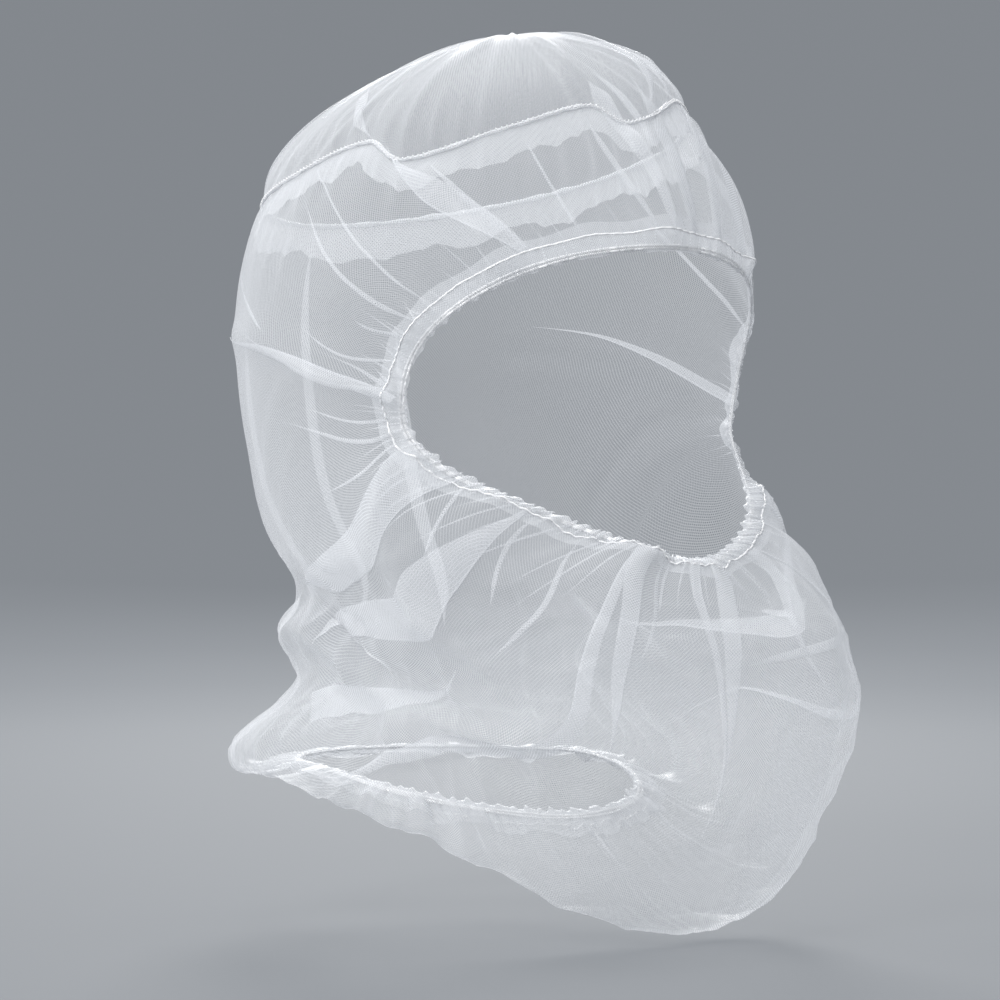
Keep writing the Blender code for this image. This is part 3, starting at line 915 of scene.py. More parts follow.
def make_piece(name: str, points: Array, faces: Array, places: Array | None, material: bpy.types.Material):
    """A mesh object from whole arrays, smooth but for its folds, with its places on the cloth as a UV map.

    Args:
        name: the piece's name.
        points: points by three.
        faces: faces by three or four corners.
        places: points by two, in metres on the flat cloth, or None.
        material: its finish.

    Returns:
        The object.
    """
    mesh = bpy.data.meshes.new(name)
    corners = faces.shape[1]
    mesh.vertices.add(len(points))
    mesh.vertices.foreach_set("co", np.ascontiguousarray(points, dtype=np.float32).ravel())
    mesh.loops.add(faces.size)
    mesh.loops.foreach_set("vertex_index", np.ascontiguousarray(faces, dtype=np.int32).ravel())
    mesh.polygons.add(len(faces))
    mesh.polygons.foreach_set("loop_start", np.arange(0, faces.size, corners, dtype=np.int32))
    mesh.polygons.foreach_set("use_smooth", np.ones(len(faces), dtype=bool))
    if places is not None:
        layer = mesh.uv_layers.new(name="cloth")
        flat = np.ascontiguousarray(places[faces.ravel()] / UV_SPAN, dtype=np.float32)
        layer.data.foreach_set("uv", flat.ravel())
    mesh.update(calc_edges=True)
    mesh.validate()
    mesh.set_sharp_from_angle(angle=FOLD_ANGLE)
    mesh.materials.append(material)
    made = bpy.data.objects.new(name, mesh)
    bpy.context.scene.collection.objects.link(made)
    LOG.info("%s: %d points, %d faces", name, len(mesh.vertices), len(mesh.polygons))
    return made


def cut_away(points: Array, places: Array, faces: Array, above: Array) -> tuple[Array, Array, Array]:
    """Keeps the part of a triangle mesh where `above` is under 0, with new corners on the crossed edges.

    A triangle with one corner kept gives one smaller triangle, and one with two kept gives two. The new
    corner lies where a straight line between the edge's two values passes 0.

    Args:
        points: points by three.
        places: points by two.
        faces: triangles.
        above: one value for each point.

    Returns:
        The kept points, places and triangles.
    """
    under = above[faces] < 0
    kept = faces[under.sum(axis=1) == 3]
    every = np.concatenate([points, places], axis=1)
    extra = []
    made = []
    count = len(points)
    for number in (1, 2):
        rows = under.sum(axis=1) == number
        part = faces[rows]
        lone = np.argmax(under[rows] == (number == 1), axis=1)
        pick = np.arange(len(part))
        a = part[pick, lone]
        b = part[pick, (lone + 1) % 3]
        c = part[pick, (lone + 2) % 3]
        to_b = (above[a] / (above[a] - above[b]))[:, None]
        to_c = (above[a] / (above[a] - above[c]))[:, None]
        on_b = every[a] * (1 - to_b) + every[b] * to_b
        on_c = every[a] * (1 - to_c) + every[c] * to_c
        at_b = count + np.arange(len(part))
        at_c = at_b + len(part)
        count += 2 * len(part)
        extra.extend([on_b, on_c])
        if number == 1:
            made.append(np.stack([a, at_b, at_c], axis=1))
        else:
            made.append(np.stack([at_b, b, c], axis=1))
            made.append(np.stack([at_b, c, at_c], axis=1))
    every = np.concatenate([every] + extra)
    kept = np.concatenate([kept] + made)
    rounded = np.round(every[:, :3] * 1e7).astype(np.int64)
    _unique, index, inverse = np.unique(rounded, axis=0, return_index=True, return_inverse=True)
    kept = inverse.reshape(-1)[kept]
    used = np.unique(kept)
    renumber = np.full(len(index), -1)
    renumber[used] = np.arange(len(used))
    kept = renumber[kept]
    good = (kept[:, 0] != kept[:, 1]) & (kept[:, 1] != kept[:, 2]) & (kept[:, 0] != kept[:, 2])
    every = every[index[used]]
    return every[:, :3], every[:, 3:], kept[good]


def carried_tube(path: Array, out: Array, wide: Array | float, thick: Array | float, sides: int) -> Array:
    """An oval profile carried round a closed path: wide times a cosine across, thick times a sine outward.

    Args:
        path: points of the closed path.
        out: the way outward at each point.
        wide: half width in metres.
        thick: half thickness in metres.
        sides: points round the profile.

    Returns:
        Points, along by sides.
    """
    ahead = unit(np.roll(path, -1, axis=0) - np.roll(path, 1, axis=0))
    across = unit(np.cross(out, ahead))
    up = unit(np.cross(ahead, across))
    angle = TURN * np.arange(sides) / sides
    wide = np.broadcast_to(wide, len(path))[:, None, None]
    thick = np.broadcast_to(thick, len(path))[:, None, None]
    cosine = np.cos(angle)[None, :, None]
    sine = np.sin(angle)[None, :, None]
    return path[:, None] + across[:, None] * cosine * wide + up[:, None] * sine * thick


def ring_faces(turns: int, sides: int) -> Array:
    """The quads of a tube that closes both ways.

    Args:
        turns: points along.
        sides: points round.

    Returns:
        Faces by four corners.
    """
    i = np.arange(turns)[:, None]
    k = np.arange(sides)[None, :]
    j = (i + 1) % turns
    m = (k + 1) % sides
    corners = (i * sides + k, j * sides + k, j * sides + m, i * sides + m)
    return np.stack(np.broadcast_arrays(*corners), axis=-1).reshape(-1, 4)


@dataclass(frozen=True)
class SheerCloth:
    """Knitted nylon net: two slanting families of threads, clear between them.

    A hole is the size of the product of a sine along each family, raised to a small power. Seen along the
    cloth, more threads stand one behind the other, so what it lets through is raised to one over the facing.
    """

    name: str
    thread: float = 0.34
    between: float = 0.04
    pitch: float = 0.00062
    fineness: float = 0.7
    slant: float = 45.0
    glow: float = 0.45
    tint: tuple = (0.90, 0.915, 0.94)
    slot: str = "mesh_cloth"

    def build(self) -> bpy.types.Material:
        """Makes the material's nodes.

        Returns:
            The material.
        """
        material = bpy.data.materials.new(self.name)
        material.use_nodes = True
        tree = material.node_tree
        tree.nodes.clear()
        link = tree.links.new

        def math(operation: str, *inputs: object) -> bpy.types.NodeSocket:
            """One Math node's result, from sockets and plain numbers."""
            node = tree.nodes.new("ShaderNodeMath")
            node.operation = operation
            for number, value in enumerate(inputs):
                if isinstance(value, bpy.types.NodeSocket):
                    link(value, node.inputs[number])
                else:
                    node.inputs[number].default_value = value
            return node.outputs[0]

        places = tree.nodes.new("ShaderNodeUVMap")
        places.uv_map = "cloth"
        turned = tree.nodes.new("ShaderNodeMapping")
        turned.inputs["Rotation"].default_value = (0.0, 0.0, np.radians(self.slant))
        repeat = np.pi * UV_SPAN / self.pitch
        turned.inputs["Scale"].default_value = (repeat, repeat * 0.8, 1.0)
        link(places.outputs["UV"], turned.inputs["Vector"])
        split = tree.nodes.new("ShaderNodeSeparateXYZ")
        link(turned.outputs[0], split.inputs[0])
        holes = math("MULTIPLY", math("SINE", split.outputs[0]), math("SINE", split.outputs[1]))
        holes = math("POWER", math("ABSOLUTE", holes), self.fineness)
        open_share = math("MULTIPLY_ADD", holes, self.thread - self.between, 1.0 - self.thread)
        facing = tree.nodes.new("ShaderNodeLayerWeight")
        facing.inputs["Blend"].default_value = 0.5
        straight = math("MAXIMUM", math("SUBTRACT", 1.0, facing.outputs["Facing"]), 0.24)
        clear = math("POWER", open_share, math("DIVIDE", 1.0, straight))

        gloss = tree.nodes.new("ShaderNodeBsdfPrincipled")
        gloss.inputs["Base Color"].default_value = (*self.tint, 1.0)
        gloss.inputs["Roughness"].default_value = 0.42
        gloss.inputs["Specular IOR Level"].default_value = 0.45
        through = tree.nodes.new("ShaderNodeBsdfTranslucent")
        through.inputs["Color"].default_value = (*self.tint, 1.0)
        lit = tree.nodes.new("ShaderNodeMixShader")
        lit.inputs[0].default_value = self.glow
        link(gloss.outputs[0], lit.inputs[1])
        link(through.outputs[0], lit.inputs[2])
        empty = tree.nodes.new("ShaderNodeBsdfTransparent")
        mix = tree.nodes.new("ShaderNodeMixShader")
        link(clear, mix.inputs[0])
        link(lit.outputs[0], mix.inputs[1])
        link(empty.outputs[0], mix.inputs[2])
        out = tree.nodes.new("ShaderNodeOutputMaterial")
        link(mix.outputs[0], out.inputs["Surface"])
        return material


@dataclass(frozen=True)
class SpunThread:
    """White sewing thread or covered elastic: a fine twist of ridges on a soft white."""

    name: str
    ridge: float = 0.0006
    colour: tuple = (0.93, 0.935, 0.95)
    roughness: float = 0.5

    def build(self) -> bpy.types.Material:
        """Makes the material: wave ridges, as bump, over object coordinates.

        Returns:
            The material.
        """
        material = bpy.data.materials.new(self.name)
        material.use_nodes = True
        tree = material.node_tree
        shader = tree.nodes["Principled BSDF"]
        shader.inputs["Base Color"].default_value = (*self.colour, 1.0)
        shader.inputs["Roughness"].default_value = self.roughness
        shader.inputs["Sheen Weight"].default_value = 0.3
        shader.inputs["Subsurface Weight"].default_value = 0.15
        shader.inputs["Subsurface Radius"].default_value = (0.001, 0.001, 0.001)
        place = tree.nodes.new("ShaderNodeTexCoord")
        wave = tree.nodes.new("ShaderNodeTexWave")
        wave.bands_direction = "DIAGONAL"
        wave.inputs["Scale"].default_value = 0.314 / self.ridge
        wave.inputs["Distortion"].default_value = 1.5
        tree.links.new(place.outputs["Object"], wave.inputs["Vector"])
        bump = tree.nodes.new("ShaderNodeBump")
        bump.inputs["Strength"].default_value = 0.6
        bump.inputs["Distance"].default_value = 0.0001
        tree.links.new(wave.outputs["Fac"], bump.inputs["Height"])
        tree.links.new(bump.outputs["Normal"], shader.inputs["Normal"])
        return material


@dataclass
class BodyPanel:
    """The body cloth from casing to casing, with the hole for the crown, and the pleats laid on it."""

    surface: BodySurface
    cloth: bpy.types.Material
    around: int = 560
    along: int = 166
    hem: float = 0.0070
    closer: float = 1.25
    flat: tuple = (0.60, 0.36)
    # Opening, how many gathers, and the shortest and longest in metres where the elastic draws fully
    gathered: tuple = ((Opening.FACE, 120, 0.008, 0.056), (Opening.NECK, 56, 0.008, 0.030))
    bands: tuple = (
        Band("temple_band", ((122, 0.02), (127, 0.07), (131, 0.13), (130, 0.20)),
             (0.003, 0.009, 0.004), Side.LEFT),
        Band("ear_band", ((174, 0.02), (170, 0.15), (161, 0.33), (144, 0.48)), (0.003, 0.004, 0.003)),
        Band("cheek_edge", ((190, 0.02), (191, 0.20), (188, 0.40), (176, 0.68)), fade=0.15,
             fold=((204, 0.02), (202, 0.18), (196, 0.36), (181, 0.74))),
        Band("cheek_band", ((218, 0.02), (214, 0.14), (199, 0.40), (180, 0.80)), fade=0.10,
             fold=((219, 0.02), (222, 0.17), (208, 0.40), (180, 0.86))),
        Band("jaw_band", ((247, 0.02), (238, 0.33), (217, 0.72), (190, 0.92)),
             (0.002, 0.006, 0.006), fade=0.3),
        Band("chin_pleat", ((248, 0.02), (248, 0.15), (244, 0.30), (239, 0.50)),
             (0.007, 0.005, 0.002), Side.LEFT),
        Band("front_thin", ((264, 0.02), (262, 0.20), (262, 0.40), (258, 0.65)),
             (0.004, 0.002, 0.002), Side.LEFT),
        Band("front_band", ((273, 0.02), (266, 0.15), (264, 0.30), (261, 0.50)),
             (0.007, 0.006, 0.003), Side.LEFT),
        Band("front_left", ((293, 0.02), (282, 0.10), (279, 0.20), (285, 0.34)),
             (0.006, 0.003, 0.002), Side.LEFT),
        Band("ruffle_band", ((178, 0.88), (200, 0.79), (208, 0.66), (212, 0.45)),
             (0.014, 0.005, 0.001), Side.LEFT, fade=0.15),
        Band("forehead_layer", ((83, 0.02), (84, 0.07), (85, 0.12), (85, 0.17)), (0.006, 0.007, 0.005)),
        Band("brow_layer", ((75, 0.02), (74, 0.07), (73, 0.12), (72, 0.17)), (0.004, 0.007, 0.007)),
        Band("temple_layer", ((64, 0.02), (63, 0.07), (61, 0.12), (59, 0.17)), (0.005, 0.006, 0.006)),
        Band("far_ear_band", ((6, 0.02), (10, 0.15), (19, 0.30), (36, 0.45)), (0.003, 0.004, 0.002)),
        Band("far_cheek_band", ((325, 0.02), (323, 0.20), (336, 0.45), (358, 0.80)), (0.003, 0.010, 0.004)),
        Band("far_jaw_band", ((296, 0.02), (298, 0.25), (314, 0.50), (345, 0.88)), (0.002, 0.005, 0.003)),
    )
    tucks: tuple = (
        Tuck("forehead_pleat", ((90, 0.01), (92, 0.06), (95, 0.11), (97, 0.16)),
             (0.003, 0.005, 0.006), Side.RIGHT, 0.15),
        Tuck("forehead_thin", ((93, 0.01), (97, 0.05), (100, 0.09), (101, 0.13)), (0.0015, 0.0020, 0.0015)),
        Tuck("forehead_left", ((82, 0.01), (83, 0.06), (84, 0.11), (85, 0.16)),
             (0.002, 0.004, 0.004), Side.RIGHT, 0.15),
        Tuck("brow_left", ((74, 0.01), (73, 0.06), (72, 0.11), (70, 0.16)),
             (0.002, 0.005, 0.005), Side.RIGHT, 0.15),
        Tuck("temple_thin", ((120, 0.01), (124, 0.05), (127, 0.10), (128, 0.15)), (0.0015, 0.0020, 0.0010)),
        Tuck("side_line", ((148, 0.01), (152, 0.10), (149, 0.20), (138, 0.30)), (0.0015, 0.0015, 0.0005)),
        Tuck("back_line", ((157, 0.35), (149, 0.40), (141, 0.43), (132, 0.45)), (0.0015, 0.0015, 0.0005)),
        Tuck("side_thin", ((143, 0.01), (146, 0.12), (141, 0.23), (128, 0.34)), (0.0010, 0.0010, 0.0005)),
        Tuck("crown_thin", ((110, 0.01), (112, 0.05), (113, 0.09), (113, 0.12)), (0.0010, 0.0010, 0.0005)),
        Tuck("nape_line", ((170, 0.01), (171, 0.15), (164, 0.30), (150, 0.42)), (0.0010, 0.0015, 0.0005)),
        Tuck("corner_line", ((185, 0.01), (184, 0.13), (178, 0.26), (168, 0.40)),
             (0.0015, 0.0015, 0.0005), Side.LEFT),
        Tuck("ear_line", ((161, 0.01), (165, 0.10), (164, 0.19), (158, 0.28)),
             (0.0010, 0.0010, 0.0005), Side.LEFT),
        Tuck("ear_thin", ((153, 0.01), (156, 0.05), (158, 0.10), (157, 0.15)), (0.0010, 0.0010, 0.0005)),
        Tuck("lobe_line", ((181, 0.01), (180, 0.12), (176, 0.22), (170, 0.32)),
             (0.0015, 0.0010, 0.0005), Side.LEFT),
        Tuck("lobe_band", ((188, 0.01), (188, 0.13), (186, 0.25), (182, 0.38)),
             (0.0015, 0.0015, 0.0005), Side.LEFT),
        Tuck("cheek_line", ((204, 0.01), (209, 0.05), (213, 0.09), (215, 0.13)),
             (0.0015, 0.0015, 0.0010), Side.LEFT),
        Tuck("jowl_line", ((230, 0.01), (236, 0.10), (233, 0.19), (226, 0.28)), (0.0015, 0.0020, 0.0010)),
        Tuck("lip_line", ((220, 0.01), (224, 0.06), (227, 0.11), (228, 0.16)), (0.0010, 0.0015, 0.0010)),
        Tuck("mouth_line", ((254, 0.01), (254, 0.08), (252, 0.16), (248, 0.24)), (0.0015, 0.0015, 0.0010)),
        Tuck("mouth_thin", ((256, 0.01), (256, 0.05), (255, 0.09), (254, 0.12)),
             (0.0010, 0.0010, 0.0005), Side.LEFT),
        Tuck("bag_fold", ((266, 0.25), (278, 0.22), (290, 0.19), (302, 0.15)), (0.0015, 0.0030, 0.0015)),
        Tuck("far_side_line", ((32, 0.01), (30, 0.12), (34, 0.22), (44, 0.30)),
             (0.0015, 0.0015, 0.0005), Side.LEFT),
        Tuck("far_temple", ((50, 0.01), (52, 0.08), (52, 0.16), (50, 0.24)), (0.0020, 0.0055, 0.0050)),
        Tuck("nape_right", ((119, 0.80), (121, 0.72), (121, 0.63), (118, 0.54)), (0.0030, 0.0050, 0.0020)),
        Tuck("nape_middle", ((89, 0.80), (90, 0.70), (91, 0.60), (93, 0.50)),
             (0.0030, 0.0050, 0.0020), Side.LEFT),
        Tuck("nape_left", ((59, 0.80), (60, 0.72), (62, 0.64), (66, 0.56)),
             (0.0030, 0.0050, 0.0020), Side.LEFT),
    )

    def build(self) -> list[bpy.types.Object]:
        """Makes the panel and its pleats, hangs them on the root body and hides the CAD hood panel.

        Returns:
            The panel and the pleats.
        """
        form = self.surface.form
        turn = np.arange(self.around) / self.around
        first = form.share_at_depth(turn, self.hem, Opening.FACE)
        last = form.share_at_depth(turn, self.hem, Opening.NECK)
        rows = 1.0 - np.linspace(1.0, 0.0, self.along) ** self.closer
        along = first[:, None] + (last - first)[:, None] * rows
        around = turn[:, None] + 0.0 * along
        points = self.surface.lay(around, along, 0.0)
        run, _rest = self.surface.relief.depths(around, along)
        places = np.stack((around * self.flat[0], run), axis=-1)
        faces = grid_faces(self.around, self.along, closed=True)
        triangles = np.concatenate([faces[:, (0, 3, 2)], faces[:, (0, 2, 1)]])
        above = self.surface.relief.seam.above(points).ravel()
        kept = cut_away(points.reshape(-1, 3), places.reshape(-1, 2), triangles, above)
        panel = make_piece("hood_panel_cloth", kept[0], kept[2], kept[1], self.cloth)
        panel_area = sum(face.area for face in panel.data.polygons)
        LOG.info("hood_panel_cloth: area %.4f m2", panel_area)
        pleats = self.pleats()
        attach(panel, "root")
        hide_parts("hood_panel")
        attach(pleats, "root")
        return [panel, pleats]

    def small_tucks(self) -> list[Tuck]:
        """Seeded fine gathers that are caught in the two casings and fade into the cloth.

        Returns:
            The tucks, the face's first.
        """
        rng = np.random.default_rng(61)
        made = []
        relief = self.surface.relief
        for opening, count, low, high in self.gathered:
            turn = (np.arange(count) + rng.uniform(-0.42, 0.42, count)) / count
            inner = self.surface.form.share_at_depth(turn, self.hem - 0.0002, opening)
            length = low + (high - low) * rng.uniform(0.0, 1.0, count) ** 1.5
            outer = self.surface.form.share_at_depth(turn, self.hem + length, opening)
            drift = relief.lean(turn) * 360.0 * (outer - inner) if opening is Opening.FACE else 0.0 * turn
            drift = drift + rng.normal(0.0, 0.7, count)
            strong = relief.draw(turn) if opening is Opening.FACE else np.ones(count)
            length = length * (0.35 + 0.65 * strong)
            outer = inner + (outer - inner) * (0.35 + 0.65 * strong)
            width = rng.uniform(0.0005, 0.0011, count) * (0.7 + 10.0 * length) * (0.55 + 0.45 * strong)
            sides = rng.integers(0, 2, count)
            for i in range(count):
                path = tuple((turn[i] * 360.0 + drift[i] * s, inner[i] + (outer[i] - inner[i]) * s)
                             for s in (0.0, 1 / 3, 2 / 3, 1.0))
                widths = (width[i] * 1.2, width[i] * 0.8, width[i] * 0.3)
                side = Side.LEFT if sides[i] else Side.RIGHT
                name = f"{opening.name.lower()}_gather_{i}"
                made.append(Tuck(name, path, widths, side, fade=0.95, caught=0.95, thick=0.0005))
        return made

    def fineness(self, tuck: Pleat) -> tuple[int, int]:
        """Points along and across a pleat: few for a gather, most for a band."""
        if "gather" in tuck.name:
            return 24, 7
        return (110, 17) if isinstance(tuck, Band) else (80, 9)

    def pleats(self) -> bpy.types.Object:
        """All the laid pleats as one piece.

        Returns:
            The object.
        """
        points, places, faces = [], [], []
        count = 0
        for tuck in (*self.bands, *self.tucks, *self.small_tucks()):
            steps, sides = self.fineness(tuck)
            loop, cloth = tuck.points(self.surface, steps, sides)
            points.append(loop.reshape(-1, 3))
            places.append(cloth.reshape(-1, 2) + np.array([0.0011 * len(points), 0.0]))
            quads = grid_faces(steps, sides, closed=False) + count
            faces.append(quads if tuck.side is Side.RIGHT else quads[:, ::-1])
            count += steps * sides
        return make_piece(
            "hood_panel_pleats",
            np.concatenate(points),
            np.concatenate(faces),
            np.concatenate(places),
            self.cloth,
        )


@dataclass
class Crown:
    """The round crown cloth, the turned-in seam allowance under it and the stitches along the seam."""

    surface: CrownSurface
    cloth: bpy.types.Material
    seam_cloth: bpy.types.Material
    ridge_cloth: bpy.types.Material
    thread: bpy.types.Material
    around: int = 480
    rings: int = 90
    allowance: float = 0.0100
    allowance_axes: tuple = (0.082, 0.098, 0.12)
    allowance_radius: float = 0.088
    flat_middle: float = 0.3
    flat_spread: float = 0.115
    seam_length: float = 0.46
    ridge_steps: int = 1400
    ridge_sides: int = 8
    zigzags: int = 236
    zigzag_steps: int = 12
    thread_sides: int = 5
    tucks: tuple = (
        Tuck("long_pleat", ((-15, 0.20), (-15, 0.45), (-15, 0.70), (-5, 0.98)),
             (0.0040, 0.0070, 0.0060), Side.LEFT),
        Tuck("front_pleat", ((-40, 0.30), (-35, 0.55), (-30, 0.75), (-20, 0.98)),
             (0.0030, 0.0050, 0.0050), Side.LEFT),
        Tuck("peak_fold", ((110, 0.60), (100, 0.75), (95, 0.85), (85, 0.98)), (0.0030, 0.0050, 0.0060)),
        Tuck("back_fold", ((150, 0.50), (145, 0.70), (145, 0.85), (145, 0.98)), (0.0020, 0.0030, 0.0030)),
        Tuck("far_fold", ((-95, 0.45), (-90, 0.65), (-90, 0.80), (-85, 0.98)),
             (0.0020, 0.0050, 0.0040), Side.LEFT),
    )

    def build(self) -> list[bpy.types.Object]:
        """Makes the crown, its pleats, the allowance band, the seam ridge and its stitches.

        Returns:
            The pieces, the crown first.
        """
        turn = np.arange(self.around) / self.around
        reach = np.linspace(0.0, 1.0, self.rings)[1:]
        around, ring = np.meshgrid(turn, reach, indexing="ij")
        points = self.surface.lay(around, ring, 0.0)
        top = self.surface.lay(np.array([0.0]), np.array([0.0]), 0.0)
        spread = self.flat_spread * ring
        right = self.flat_middle + spread * np.sin(TURN * around)
        front = self.flat_middle + spread * np.cos(TURN * around)
        places = np.stack((right, front), axis=-1)
        faces = grid_faces(self.around, self.rings - 1, closed=True)[:, ::-1]
        triangles = np.concatenate([faces[:, (0, 1, 2)], faces[:, (0, 2, 3)]])
        rows = self.rings - 1
        first = np.arange(self.around) * rows
        pole = np.full(self.around, self.around * rows)
        fan = np.stack([pole, np.roll(first, -1), first], axis=1)[:, ::-1]
        crown = make_piece(
            "crown_panel_cloth",
            np.concatenate([points.reshape(-1, 3), top]),
            np.concatenate([triangles, fan]),
            np.concatenate([places.reshape(-1, 2), [[self.flat_middle, self.flat_middle]]]),
            self.cloth,
        )
        LOG.info("crown_panel_cloth: area %.4f m2", sum(face.area for face in crown.data.polygons))
        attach(crown, "root")
        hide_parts("crown_panel")
        pleats = self.pleats()
        band = self.band()
        stitches = self.stitches()
        return [crown, pleats, band, *stitches]

    def pleats(self) -> bpy.types.Object:
        """The crown's laid pleats as one piece.

        Returns:
            The object.
        """
        steps, sides = 90, 15
        points, places, faces = [], [], []
        for number, tuck in enumerate(self.tucks):
            loop, cloth = tuck.points(self.surface, steps, sides)
            points.append(loop.reshape(-1, 3))
            places.append(cloth.reshape(-1, 2) + np.array([0.02 * number, 0.0]))
            faces.append(grid_faces(steps, sides, closed=False) + number * steps * sides)
        made = make_piece(
            "crown_panel_pleats",
            np.concatenate(points),
            np.concatenate(faces),
            np.concatenate(places),
            self.cloth,
        )
        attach(made, "root")
        return made

    def line(self, turn: Array) -> tuple[Array, Array]:
        """Points of the seam and the way outward there."""
        points = self.surface.smooth(turn, np.ones_like(turn))
        return points, self.surface.outward(points, self.surface.half_axes)

    def band(self) -> bpy.types.Object:
        """The seam allowance: a strip that hangs inside below the seam, its raw edge wandering up and down.

        Each column runs from the seam to its own depth, which is the allowance times one plus a wander.

        Returns:
            The object.
        """
        turns, rows = 480, 14
        turn = np.arange(turns) / turns
        seam = self.surface.seam
        depth = self.allowance * (1.0 + 0.22 * wander(turn, 41, 3, 26) + 0.10 * ripple(turn, 52, 42))
        share = np.linspace(0.0, 1.0, rows)
        angle = seam.angle(turn)[:, None] - (depth[:, None] * share) / self.allowance_radius
        around = turn[:, None] + 0.0 * angle
        points = seam.direction(around, angle)
        out = self.surface.outward(points, self.allowance_axes)
        wave = 0.0006 * ripple(around, 46, 31) + 0.0004 * ripple(around, 90, 43)
        points = points + out * (wave * share - 0.0008 - 0.0007 * share)[..., None]
        places = np.stack((around * self.seam_length, share * depth[:, None]), axis=-1)
        faces = grid_faces(turns, rows, closed=True)[:, ::-1]
        made = make_piece(
            "crown_seam_band", points.reshape(-1, 3), faces, places.reshape(-1, 2), self.seam_cloth
        )
        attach(made, "root")
        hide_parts("crown_seam")
        return made

    def stitches(self) -> list[bpy.types.Object]:
        """The seam's rolled ridge, and a thread that zigzags over it.

        Returns:
            Two objects.
        """
        steps, sides = self.ridge_steps, self.ridge_sides
        turn = np.arange(steps) / steps
        path, out = self.line(turn)
        path = path + out * (0.0003 + 0.0002 * ripple(turn, 60, 44))[:, None]
        wide = 0.00085 * (1.0 + 0.35 * wander(turn, 45, 5, 60))
        ridge = carried_tube(path, out, wide, 0.00055, sides)
        faces = ring_faces(steps, sides)
        across = np.broadcast_to(np.arange(sides) / sides * 0.003, (steps, sides))
        places = np.stack((turn[:, None] * self.seam_length + 0.0 * across, across), axis=-1)
        rolled = make_piece(
            "crown_seam_ridge", ridge.reshape(-1, 3), faces, places.reshape(-1, 2), self.ridge_cloth
        )
        count = self.zigzags
        points = count * self.zigzag_steps
        turn = np.arange(points) / points
        path, out = self.line(turn)
        ahead = unit(np.roll(path, -1, axis=0) - np.roll(path, 1, axis=0))
        across = unit(np.cross(out, ahead))
        swing = (0.00042 + 0.00018 * wander(turn, 46, 20, 80)) * np.sin(TURN * count * turn)
        lift = 0.00085 - 0.0003 * np.cos(2 * TURN * count * turn)
        path = path + across * swing[:, None] + out * lift[:, None]
        thread = carried_tube(path, out, 0.00017, 0.00017, self.thread_sides)
        faces = ring_faces(points, self.thread_sides)
        sewn = make_piece("crown_seam_stitches", thread.reshape(-1, 3), faces, None, self.thread)
        for piece in (rolled, sewn):
            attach(piece, "root")
        return [rolled, sewn]


